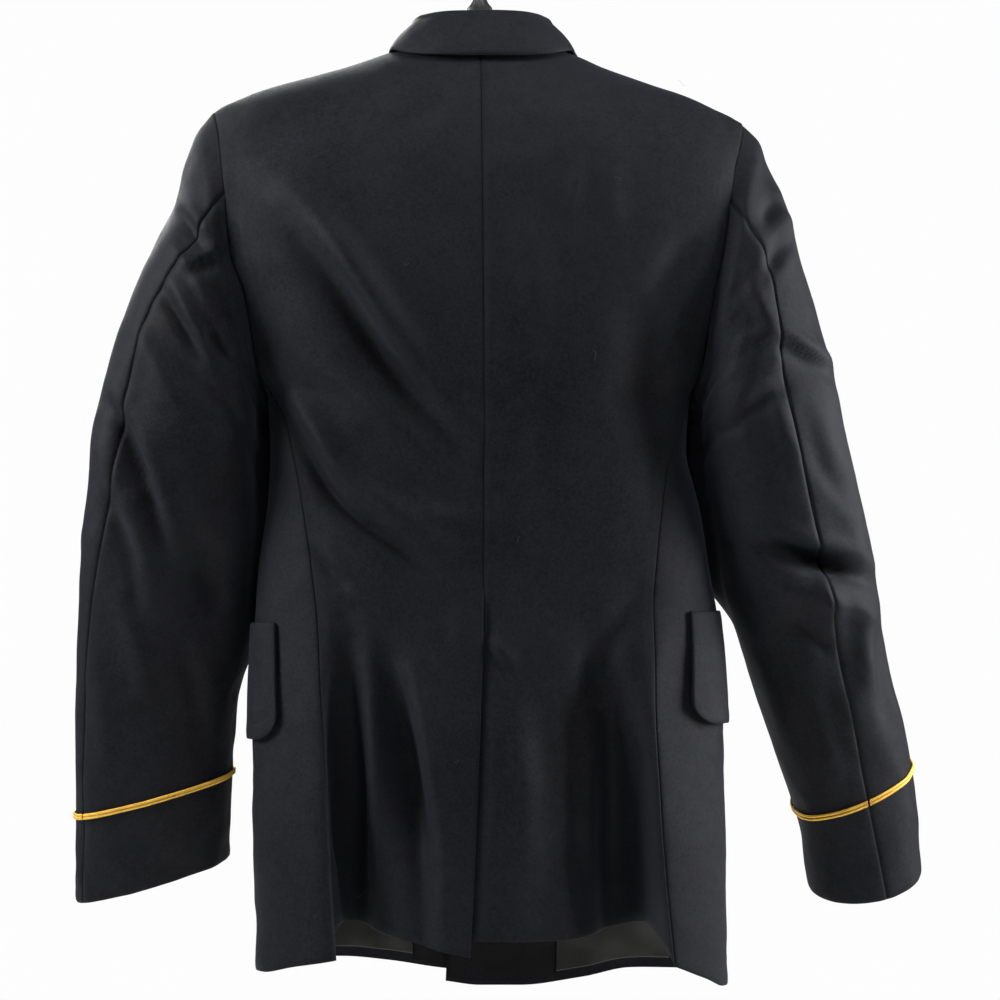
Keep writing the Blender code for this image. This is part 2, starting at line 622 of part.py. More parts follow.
def pull_down(points, gap):
    """Moves a grid's first row towards its second one."""
    moved = points.copy()
    moved[0] += unit(points[1] - points[0]) * gap
    return moved


def layer(name, angles, heights, outside, inside, finish_material, edge_gap=0.0):
    """A wall on the body surface between two distances from it, which may differ from point to point."""
    points = body(angles, heights)
    normals = body_normal(angles, heights)
    grids = []
    for distance in (outside, inside):
        grid = points + normals * np.broadcast_to(distance, angles.shape)[..., None]
        grids.append(pull_down(pull_in(grid, edge_gap), edge_gap))
    return wall(name, *grids, finish_material)


def armhole_rows(top, foot):
    """Heights from a column's top to the side seam's top, closer together over the shoulder."""
    last = math.acos(2 * (SIDE_SEAM_TOP - ARMHOLE_FOOT) / (TIP_HEIGHT[LEFT] - ARMHOLE_FOOT) - 1)
    turns = np.linspace(0, last, ARMHOLE_ROWS + 1)
    shares = (1 - np.cos(turns)) / (1 - math.cos(last))
    return top + (foot - top) * shares


def column_heights(top, hem):
    """Heights of one column of a front or back panel: down to the side seam's top, then to the hem."""
    upper = armhole_rows(top, SIDE_SEAM_TOP)
    lower = SIDE_SEAM_TOP + (hem - SIDE_SEAM_TOP) * np.linspace(0, 1, SKIRT_ROWS + 1)[1:]
    return np.concatenate([upper, lower])


def back_outer_x(side, z):
    """Outer edge of a back panel: the armhole, then the side-back seam."""
    above = armhole_x(side, np.clip(z, SIDE_SEAM_TOP, TIP_HEIGHT[side]), False)
    return np.where(z > SIDE_SEAM_TOP, above, side_seam_x(side, z, False))


def front_outer_x(side, z):
    above = armhole_x(side, np.clip(z, SIDE_SEAM_TOP, TIP_HEIGHT[side]), True)
    return np.where(z > SIDE_SEAM_TOP, above, side_seam_x(side, z, True))


def neckline(side, x):
    """Top edge of a back panel: the dipped back neck, then the shoulder's crest."""
    share = np.clip(np.abs(x) / NECK_HALF_WIDTH, 0, 1)
    end = crest_height[side](NECK_HALF_WIDTH)
    neck = NECK_DROP_AT_BACK + (end - NECK_DROP_AT_BACK) * share**2.5
    return np.where(np.abs(x) < NECK_HALF_WIDTH, neck, crest_height[side](np.abs(x)))


def column_top(x_at, top_line, side):
    """Height at which a column, whose x changes with height, meets the top line."""
    z = TIP_HEIGHT[side]
    for _ in range(30):
        z = 0.5 * z + 0.5 * float(top_line(side, x_at(z)))
    return z


def shoulder_seam(side, x):
    """Top edge of a front panel: the shoulder's crest."""
    return crest_height[side](np.abs(x))


def back_columns(side):
    """For each column of a back panel, its x by height and its share of the panel's width."""
    columns = []
    shares = BACK_SHARES[side]
    if side == LEFT:
        for share in shares:
            columns.append((share, lambda z, share=share: blend_x(centre_back(z), back_outer_x(side, z), share)))
        return columns
    for opened, closed in zip(VENT_COLUMNS_OPEN, VENT_COLUMNS_CLOSED):

        def near_x(z, opened=opened, closed=closed):
            return centre_back(z) + closed + (opened - closed) * ease((VENT_TOP + 0.004 - z) / 0.016)

        columns.append((0.0, near_x))
    for share in shares[1:]:

        def far_x(z, share=share):
            return blend_x(near_x(z), -back_outer_x(side, z), share)

        columns.append((share, far_x))
    return columns


def blend_x(start, end, share):
    return start + (end - start) * share


def back_panel(side, cloth):
    angles = []
    heights = []
    for share, x_at in back_columns(side):
        top = TIP_HEIGHT[side] if share == 1 else column_top(x_at, neckline, side)
        column = column_heights(top, float(back_hem[side](share)))
        heights.append(column)
        angles.append(angle_of_x(x_at(column), column, False))
    angles = np.array(angles).T
    heights = np.array(heights).T
    sink = np.zeros(angles.shape)
    if side == RIGHT:
        # The underlap lies below the left panel's lap edge, and the seam above dips to meet it.
        sink[:, : len(VENT_COLUMNS_OPEN) - 1] = VENT_STEP
        sink = sink * ease((VENT_TOP + 0.045 - heights) / 0.038)
    return layer(f"back_{SIDE_NAMES[side]}", angles, heights, -sink, -sink - CLOTH, cloth, EDGE_GAP)


def side_angle(side, share, z):
    rear = angle_of_x(side * side_seam_x(side, z, False), z, False)
    fore = angle_of_x(side * side_seam_x(side, z, True), z, True)
    return rear + (fore - rear) * share


def side_panel_grid(side):
    angles = []
    heights = []
    for share in np.linspace(0, 1, SIDE_COLUMNS + 1):
        top = SIDE_SEAM_TOP
        if 0 < share < 1:
            for _ in range(30):
                top = 0.5 * top + 0.5 * float(armhole_floor(side_angle(side, share, top), top))
        hem = float(side_hem[side](share))
        column = top + (hem - top) * np.linspace(0, 1, SKIRT_ROWS + 1)
        heights.append(column)
        angles.append(side_angle(side, share, column))
    return np.array(angles).T, np.array(heights).T


def side_panel(side, cloth):
    angles, heights = side_panel_grid(side)
    return layer(f"side_{SIDE_NAMES[side]}", angles, heights, 0, -CLOTH, cloth, EDGE_GAP)


def front_x(side, share, z):
    """World x at a share of a front's width, from its front edge to its armhole and side seam."""
    return blend_x(front_edge[side](z), side * front_outer_x(side, z), share)


def front_grid(side, shares):
    angles = []
    heights = []
    for share in shares:

        def x_at(z, share=share):
            return front_x(side, share, z)

        top = TIP_HEIGHT[side] if share == 1 else column_top(x_at, shoulder_seam, side)
        column = column_heights(top, float(front_hem[side](share)))
        heights.append(column)
        angles.append(angle_of_x(x_at(column), column, True))
    return np.array(angles).T, np.array(heights).T


def lap_sink(side, share, z):
    """How far the wearer's right front lies below the body surface, to pass under the left one."""
    start, end = LAP_STEP_SHARES
    lowest, highest = LAP_STEP_HEIGHTS
    across = 1 - np.clip((np.asarray(share) - start) / (end - start), 0, 1)
    sink = LAP_STEP * across * ease((highest - z) / (highest - lowest))
    return sink if side == RIGHT else 0 * sink


def front_panel(side, cloth):
    angles, heights = front_grid(side, FRONT_SHARES)
    sink = lap_sink(side, FRONT_SHARES, heights)
    return layer(f"front_{SIDE_NAMES[side]}", angles, heights, -sink, -sink - CLOTH, cloth, EDGE_GAP)


def inner_layer(name, side, shares, shorter, gap, thickness, finish_material):
    """A facing or a lining inside a front, on the front's own rows and nearly its own columns."""
    angles, heights = front_grid(side, shares)
    angles = angles[FACING_TOP_ROW:]
    heights = heights[FACING_TOP_ROW:]
    heights[-1] += shorter
    sink = lap_sink(side, shares, heights) + CLOTH + gap
    return layer(name, angles, heights, -sink, -sink - thickness, finish_material)


def lapel(side, cloth):
    rows = np.linspace(0, 1, 9)
    shares = np.linspace(0, 1, 7)
    heights = np.empty((len(rows), len(shares)))
    x = np.empty(heights.shape)
    for j, share in enumerate(shares):
        top = LAPEL_TOP_AT_ROLL + (LAPEL_TOP_AT_TIP - LAPEL_TOP_AT_ROLL) * share
        z = top + (BREAK_HEIGHT - top) * rows
        roll = side * front_edge[side](z) - LAPEL_PAST_ROLL
        x[:, j] = side * (roll + (lapel_edge(z) - roll) * share)
        heights[:, j] = z
    angles = angle_of_x(x, heights, True)
    edge = front_edge[side](heights)
    panel_share = np.clip((x - edge) / (side * front_outer_x(side, heights) - edge), 0, 1)
    sink = lap_sink(side, panel_share, heights)
    free = 1 - sink / LAP_STEP
    lift = LAPEL_GAP + LAPEL_ROLL_LIFT * (1 - shares) ** 2 * free + LAPEL_UNDERLAP_LIFT * (1 - free) - sink
    return layer(f"lapel_{SIDE_NAMES[side]}", angles, heights, lift + CLOTH, lift, cloth)


def pocket_flap(side, cloth):
    flap = POCKET_FLAPS[side]
    shares = np.array(FLAP_SHARES)
    rows = np.linspace(0, 1, FLAP_ROWS + 1)
    rear = angle_of_x(side * (flap.rear_x_top + (flap.rear_x_bottom - flap.rear_x_top) * rows), flap.top, False)
    fore = angle_of_x(side * flap.front_x, flap.top, True)
    angles = rear[:, None] + (fore - rear[:, None]) * shares
    from_edge = np.minimum(shares, 1 - shares) * FLAP_WIDTH
    rise = FLAP_CORNER - np.sqrt(FLAP_CORNER**2 - np.clip(FLAP_CORNER - from_edge, 0, FLAP_CORNER) ** 2)
    bottom = flap.bottom + rise
    heights = flap.top + (bottom - flap.top) * rows[:, None]
    stand = FLAP_STANDOFF_TOP + (FLAP_STANDOFF_BOTTOM - FLAP_STANDOFF_TOP) * rows[:, None]
    return layer(f"pocket_flap_{SIDE_NAMES[side]}", angles, heights, stand + CLOTH, stand, cloth)


def armhole_loop(side):
    """The armhole's points from the shoulder tip down the back, under the arm and up the front."""
    edge = armhole_rows(TIP_HEIGHT[side], SIDE_SEAM_TOP)
    side_angles, side_heights = side_panel_grid(side)
    rear = [(float(armhole_angle(side, z, False)), z) for z in edge]
    under = [(float(side_angles[0, j]), float(side_heights[0, j])) for j in range(1, SIDE_COLUMNS)]
    fore = [(float(armhole_angle(side, z, True)), z) for z in edge[:0:-1]]
    loop = rear + under + fore
    return np.array([row[0] for row in loop]), np.array([row[1] for row in loop])


def sleeve_frame(side, run):
    """Outer edge, inner edge, middle y, half depth and back drop of the ring at a run."""
    read = {name: track(SLEEVE_RINGS[side], "run", name) for name in SleeveRing._fields[1:]}
    outer = np.stack([side * read["outer_x"](run), read["middle_y"](run), read["outer_z"](run)], axis=-1)
    inner = np.stack([side * read["inner_x"](run), read["middle_y"](run), read["inner_z"](run)], axis=-1)
    return outer, inner, read["half_depth"](run), read["back_drop"](run)


def sleeve_point(side, run, angle):
    """A point of the plain sleeve tube: angle 0 is its outer edge, 90 its back and 180 its inner edge."""
    outer, inner, half_depth, back_drop = sleeve_frame(side, run)
    turn = np.radians(angle)
    # A little squarer than an ellipse, as the cloth folds at its two edges.
    bulge = 1 + 0.05 * np.sin(2 * turn) ** 2
    middle = (outer + inner) / 2
    point = middle + (outer - inner) / 2 * (np.cos(turn) * bulge)[..., None]
    depth = half_depth * np.sin(turn) * bulge
    lift = np.zeros(np.shape(depth))
    for fold in SLEEVE_FOLDS:
        if fold.side == side:
            near = ((run - fold.run) / fold.run_reach) ** 2 + ((angle - fold.angle) / fold.angle_reach) ** 2
            lift = lift + fold.height * np.exp(-near)
    point[..., 1] += depth + lift
    point[..., 2] -= back_drop * np.sin(turn)
    return point


def sleeve_columns(side):
    """For each armhole point: its place, the sleeve angle there, and the angle that it ends at."""
    angles, heights = armhole_loop(side)
    start = body(angles, heights)
    outer, inner, half_depth, _ = sleeve_frame(side, 0.0)
    axis = outer - inner
    along = ((start - inner) @ axis) / (axis @ axis)
    at_back = start[:, 1] >= outer[1]
    turn = np.degrees(np.arccos(np.clip(2 * along - 1, -1, 1)))
    first = np.where(at_back, turn, 360 - turn)
    first[0] = 0
    return angles, heights, start, first


def sleeve_angles(side, runs, first):
    """The angle of every column at every run: columns keep to the two seams and spread evenly between."""
    seam = track(SLEEVE_RINGS[side], "run", "seam_angle")(runs)
    count = len(first)
    front_index = count - SEAM_INDEX_AT_FRONT
    result = np.empty((len(runs), count))
    for i, run in enumerate(runs):
        blend = ease(run / SLEEVE_HEAD_RUN)
        goal = np.empty(count)
        under = np.arange(SEAM_INDEX_AT_BACK, front_index + 1)
        share = (under - SEAM_INDEX_AT_BACK) / (front_index - SEAM_INDEX_AT_BACK)
        goal[under] = seam[i] + (SLEEVE_FRONT_SEAM_ANGLE - seam[i]) * share
        upper = np.arange(front_index, count + SEAM_INDEX_AT_BACK + 1)
        share = (upper - front_index) / (count + SEAM_INDEX_AT_BACK - front_index)
        turned = SLEEVE_FRONT_SEAM_ANGLE + (360 + seam[i] - SLEEVE_FRONT_SEAM_ANGLE) * share
        goal[upper % count] = np.where(upper >= count, turned - 360, turned)
        result[i] = first * (1 - blend) + goal * blend
    return result


def sleeve_surface(side, runs):
    """The sleeve's outer points by run and column, and their outward normals."""
    loop_angles, loop_heights, start, first = sleeve_columns(side)
    # The sleeve starts a seam's width off the armhole: outwards along the cloth, and clear of the panel.
    normal = body_normal(loop_angles, loop_heights)
    tangent = unit(np.roll(start, -1, axis=0) - np.roll(start, 1, axis=0))
    away = unit(np.cross(tangent, normal)) * side
    away = away * np.sign(np.sum(away * (start - start.mean(axis=0)), axis=1) * -1)[:, None]
    start = start + away * SEAM_GAP * 1.5 + normal * SEAM_GAP * 0.5
    runs = np.asarray(runs, float)
    angles = sleeve_angles(side, runs, first)
    points = sleeve_point(side, runs[:, None] + 0 * angles, angles)
    miss = start - sleeve_point(side, 0 * first, first)
    keep = (1 - ease(runs / SLEEVE_HEAD_RUN)) ** 1.5
    points = points + keep[:, None, None] * miss
    ring = np.concatenate([points[:, -1:], points, points[:, :1]], axis=1)
    normals = unit(np.cross(np.gradient(ring, axis=1), np.gradient(ring, axis=0)))[:, 1:-1]
    middle = points.mean(axis=1, keepdims=True)
    normals = normals * np.sign(np.sum(normals * (points - middle), axis=(1, 2)))[:, None, None]
    # Round the armhole the sleeve's rim lies along the panel's rim, apart from under the arm.
    share = np.sqrt(np.clip(np.sum(normals[0] * normal, axis=1), 0, 1))[:, None]
    normals[0] = unit(normal * share + normals[0] * (1 - share))
    return points, normals, angles


def sleeve_parts(count):
    """Column indices of the upper sleeve and of the under sleeve."""
    front_index = count - SEAM_INDEX_AT_FRONT
    upper = [i % count for i in range(front_index, count + SEAM_INDEX_AT_BACK + 1)]
    under = list(range(SEAM_INDEX_AT_BACK, front_index + 1))
    return {"upper": upper, "under": under}


def sleeve(side, cloth):
    points, normals, _ = sleeve_surface(side, SLEEVE_RUNS)
    for part, columns in sleeve_parts(points.shape[1]).items():
        outer = pull_in(points[:, columns], EDGE_GAP)
        inner = pull_in((points - normals * CLOTH)[:, columns], EDGE_GAP)
        wall(f"{part}_sleeve_{SIDE_NAMES[side]}", outer, inner, cloth)


def braid(side, gold):
    """A raised band round the cuff, on the sleeve's own facets and cut at the sleeve's seams."""
    points, normals, angles = sleeve_surface(side, SLEEVE_RUNS)
    climb = BRAID_CLIMB[side] * np.cos(np.radians(angles[-1]))
    half = BRAID_WIDTH / 2 / SLEEVE_LENGTH
    for part, columns in sleeve_parts(points.shape[1]).items():
        lower = []
        upper = []
        for run in (BRAID_RUN[side] - half, BRAID_RUN[side] + half):
            at = []
            out = []
            for j in columns:
                at.append([np.interp(run - climb[j], SLEEVE_RUNS, points[:, j, k]) for k in range(3)])
                out.append([np.interp(run - climb[j], SLEEVE_RUNS, normals[:, j, k]) for k in range(3)])
            at = np.array(at)
            out = unit(np.array(out))
            lower.append(at + out * LAYER_GAP)
            upper.append(at + out * (LAYER_GAP + BRAID_HEIGHT))
        outer = pull_in(np.array(upper), SEAM_GAP)
        inner = pull_in(np.array(lower), SEAM_GAP)
        wall(f"cuff_braid_{part}_{SIDE_NAMES[side]}", outer, inner, gold)


def on_body(x, z, front):
    angle = angle_of_x(x, z, bool(front))
    return body(angle, z), body_normal(angle, z)


def collar(cloth):
    """Stand and fall as one folded wall, from the wearer's right front end to the left one."""
    stations = [station._asdict() | {"place": i} for i, station in enumerate(COLLAR_STATIONS)]
    row_type = namedtuple("Row", ["place", *CollarStation._fields])
    rows = [row_type(**station) for station in stations]
    read = {name: track(rows, "place", name) for name in CollarStation._fields}
    count = COLLAR_SECTIONS_PER_SIDE
    outer = []
    inner = []
    for step in range(-count, count + 1):
        side = LEFT if step >= 0 else RIGHT
        place = abs(step) / count * (len(COLLAR_STATIONS) - 1)
        value = {name: float(curve(place)) for name, curve in read.items()}
        seam, seam_normal = on_body(side * value["seam_x"], value["seam_z"], value["seam_front"] > 0.5)
        edge, edge_normal = on_body(side * value["edge_x"], value["edge_z"], value["edge_front"] > 0.5)
        edge = edge + edge_normal * (value["lift"] + CLOTH)
        fold = np.array([side * value["fold_x"], value["fold_y"], value["fold_z"]])
        away = unit((edge - fold) * np.array([1, 1, 0]))
        up = np.array([0, 0, 1.0])
        hub = fold - up * COLLAR_FOLD_RADIUS
        small = COLLAR_FOLD_RADIUS - CLOTH
        fall_top = hub + away * COLLAR_FOLD_RADIUS
        drop = edge - fall_top
        out = unit(away - unit(drop) * (away @ unit(drop)))
        # The stand's foot sits on the rim of the body's neck edge.
        rise = unit(fold - seam - seam_normal * ((fold - seam) @ seam_normal))
        foot = seam + rise * SEAM_GAP * 2
        stand_inner = hub - away * COLLAR_FOLD_RADIUS
        stand_outer = hub - away * small
        neck_foot = foot - seam_normal * CLOTH
        outer.append(
            [fall_top + drop * share + out * bow for share, bow in COLLAR_FALL_BOWS]
            + [fall_top]
            + [hub + (away + up) * COLLAR_FOLD_RADIUS * math.sqrt(0.5), hub + up * COLLAR_FOLD_RADIUS]
            + [hub + (up - away) * COLLAR_FOLD_RADIUS * math.sqrt(0.5), stand_inner]
            + [(stand_inner + neck_foot) / 2, neck_foot]
        )
        inner.append(
            [fall_top + drop * share + out * (bow - CLOTH) for share, bow in COLLAR_FALL_BOWS]
            + [hub + away * small]
            + [hub + (away + up) * small * math.sqrt(0.5), hub + up * small]
            + [hub + (up - away) * small * math.sqrt(0.5), stand_outer]
            + [(stand_outer + foot) / 2, foot]
        )
    return wall("collar", np.array(outer), np.array(inner), cloth)


def turned(name, profile, place, direction, finish_material, sides=14):
    """A solid turned from (radius, height) rows about an axis through a place."""
    mesh = bmesh.new()
    rings = []
    for radius, height in profile:
        turns = [2 * math.pi * k / sides for k in range(sides)]
        rings.append([mesh.verts.new((radius * math.cos(t), radius * math.sin(t), height)) for t in turns])
    for lower, upper in zip(rings, rings[1:]):
        for k in range(sides):
            mesh.faces.new((lower[k], lower[(k + 1) % sides], upper[(k + 1) % sides], upper[k]))
    mesh.faces.new(rings[0][::-1])
    mesh.faces.new(rings[-1])
    piece = finish(mesh, name, finish_material)
    from_z = np.array([0, 0, 1.0])
    axis = np.cross(from_z, direction)
    turn = math.atan2(np.linalg.norm(axis), from_z @ direction)
    piece.rotation_mode = "AXIS_ANGLE"
    piece.rotation_axis_angle = (turn, *unit(axis))
    piece.location = place
    return piece


def front_buttons(metal):
    """Four domed buttons on the left front, each on its shank."""
    for number, z in enumerate(BUTTON_HEIGHTS, 1):
        point, normal = on_body(BUTTON_X, z, True)
        turned(f"front_button_{number}", BUTTON_PROFILE, point + normal * LAYER_GAP, normal, metal)


def tube(name, path, half_sizes, finish_material, sides=10):
    """An oval bar along a path in the XZ plane: half_sizes holds (in the plane, along Y) per point."""
    path = np.asarray(path, float)
    run = unit(np.gradient(path, axis=0))
    mesh = bmesh.new()
    rings = []
    for point, direction, (wide, deep) in zip(path, run, half_sizes):
        across = np.array([direction[2], 0, -direction[0]])
        ring = []
        for k in range(sides):
            turn = 2 * math.pi * (k + 0.5) / sides
            ring.append(mesh.verts.new(point + across * wide * math.cos(turn) + np.array([0, deep * math.sin(turn), 0])))
        rings.append(ring)
    for lower, upper in zip(rings, rings[1:]):
        for k in range(sides):
            mesh.faces.new((lower[k], lower[(k + 1) % sides], upper[(k + 1) % sides], upper[k]))
    mesh.faces.new(rings[0][::-1])
    mesh.faces.new(rings[-1])
    return finish(mesh, name, finish_material)


def hanger(plastic):
    """Sloping arms just under the shoulders, a flared neck and a hook, as one moulded piece."""
    arm_path = []
    arm_sizes = []
    for x in np.linspace(-HANGER_REACH[RIGHT], HANGER_REACH[LEFT], HANGER_ARM_STATIONS):
        side = LEFT if x >= 0 else RIGHT
        out = abs(x)
        slope = float(crest_height[side](out + 0.004) - crest_height[side](out - 0.004)) / 0.008
        thinning = HANGER_ARM_HALF_HEIGHT["middle"] - HANGER_ARM_HALF_HEIGHT["end"]
        half_height = HANGER_ARM_HALF_HEIGHT["middle"] - thinning * ease(out / HANGER_REACH[side])
        end = ease((HANGER_REACH[side] - out) / 0.010)
        half_height = half_height * (0.45 + 0.55 * end)
        crown = HANGER_HALF_THICKNESS**2 * 0.6
        seat = (CLOTH + HANGER_SEAT_GAP + crown) * math.hypot(1, slope)
        neck_dip = HANGER_NECK_DIP * (1 - ease((out - 0.070) / 0.030))
        arm_path.append((x, SHOULDER_LINE_Y, float(crest_height[side](out)) - seat - neck_dip - half_height))
        arm_sizes.append((half_height, HANGER_HALF_THICKNESS * (0.55 + 0.45 * end)))
    arms = tube("hanger", arm_path, arm_sizes, plastic)

    middle_radius = HOOK_INSIDE_RADIUS + HOOK_HALF_THICKNESS
    bar_size = (HOOK_HALF_THICKNESS, HOOK_HALF_THICKNESS)
    path = [(HANGER_X, row.z) for row in HANGER_NECK]
    sizes = [(row.wide, row.deep) for row in HANGER_NECK]
    leave = math.radians(HOOK_START_ANGLE)
    start = np.array(path[-1])
    hub = np.array([0.0, -HOOK_INSIDE_RADIUS])
    end = hub + np.array([math.cos(leave), math.sin(leave)]) * middle_radius
    first_pull = start + np.array([0, HOOK_BEND_PULL])
    last_pull = end - HOOK_BEND_PULL * np.array([-math.sin(leave), math.cos(leave)])
    for t in (0.2, 0.4, 0.6, 0.8):
        bend = (1 - t) ** 3 * start + 3 * t * (1 - t) ** 2 * first_pull + 3 * t * t * (1 - t) * last_pull + t**3 * end
        path.append(tuple(bend))
        sizes.append(bar_size)
    for degrees in np.linspace(HOOK_START_ANGLE, HOOK_END_ANGLE, 17):
        turn = math.radians(degrees)
        path.append((hub[0] + middle_radius * math.cos(turn), hub[1] + middle_radius * math.sin(turn)))
        sizes.append(bar_size)
    sizes[-1] = (HOOK_HALF_THICKNESS * 0.6, HOOK_HALF_THICKNESS * 0.6)
    hook_path = [(x, SHOULDER_LINE_Y, z) for x, z in path]
    hook = tube("hanger_hook_guide", hook_path, sizes, plastic)
    hook.hide_render = True
    hook.display_type = "WIRE"
    join = arms.modifiers.new("hook", "BOOLEAN")
    join.operation = "UNION"
    join.object = hook
    join.solver = "EXACT"
    return arms


def main():
    for thing in list(bpy.data.objects):
        bpy.data.objects.remove(thing, do_unlink=True)
    cloth = material("wool_cloth", (0.012, 0.013, 0.018), 0.85)
    facing_cloth = material("facing_cloth", (0.010, 0.011, 0.014), 0.85)
    lining_cloth = material("lining_cloth", (0.080, 0.078, 0.068), 0.45)
    gold = material("gold_braid", (0.62, 0.36, 0.05), 0.45, 0.3)
    brass = material("button_brass", (0.75, 0.52, 0.20), 0.30, 1.0)
    plastic = material("hanger_plastic", (0.015, 0.015, 0.016), 0.40)
    for side in (LEFT, RIGHT):
        name = SIDE_NAMES[side]
        back_panel(side, cloth)
        side_panel(side, cloth)
        front_panel(side, cloth)
        lapel(side, cloth)
        pocket_flap(side, cloth)
        sleeve(side, cloth)
        braid(side, gold)
        inner_layer(f"facing_{name}", side, FACING_SHARES, FACING_SHORTER, LAYER_GAP, FACING_CLOTH, facing_cloth)
        inner_layer(f"lining_{name}", side, LINING_SHARES, LINING_SHORTER, LINING_GAP, LINING_CLOTH, lining_cloth)
    collar(cloth)
    front_buttons(brass)
    hanger(plastic)


main()
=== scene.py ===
# Dress uniform jacket on its hanger, seen from behind. Metres, +Z up, the front faces -Y.
# The cloth pieces are built again from the jacket's own measures, with their creases, seams and yarn.
import math

import bmesh
import bpy
import mathutils
import numpy as np
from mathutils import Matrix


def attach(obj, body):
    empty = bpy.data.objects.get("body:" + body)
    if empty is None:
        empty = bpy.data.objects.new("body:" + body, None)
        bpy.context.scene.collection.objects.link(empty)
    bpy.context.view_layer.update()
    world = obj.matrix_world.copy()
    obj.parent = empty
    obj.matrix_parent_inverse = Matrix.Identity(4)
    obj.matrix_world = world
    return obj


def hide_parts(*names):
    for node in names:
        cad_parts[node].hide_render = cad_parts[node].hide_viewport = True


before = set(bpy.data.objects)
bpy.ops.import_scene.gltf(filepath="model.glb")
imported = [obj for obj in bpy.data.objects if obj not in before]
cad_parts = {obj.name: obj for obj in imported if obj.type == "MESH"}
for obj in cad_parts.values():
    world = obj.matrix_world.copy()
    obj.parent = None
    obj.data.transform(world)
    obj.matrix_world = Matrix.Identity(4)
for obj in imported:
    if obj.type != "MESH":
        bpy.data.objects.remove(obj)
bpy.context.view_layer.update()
scene = bpy.context.scene
print("frame loaded:", len(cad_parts), "nodes")

cameraSettings = {
    "place": (-0.015, 2.2, -0.5615),
    "lens": 95.42,
    "shiftUp": 0.09,
}


def addCamera(settings):
    camera = bpy.data.objects.new("photoCamera", bpy.data.cameras.new("photoCamera"))
    scene.collection.objects.link(camera)
    camera.location = settings["place"]
    camera.rotation_euler = (math.pi / 2, 0, math.pi)
    camera.data.lens = settings["lens"]
    camera.data.sensor_width = 36
    camera.data.shift_y = settings["shiftUp"]
    scene.camera = camera


addCamera(cameraSettings)

left, right = 1, -1
sideNames = {left: "Left", right: "Right"}

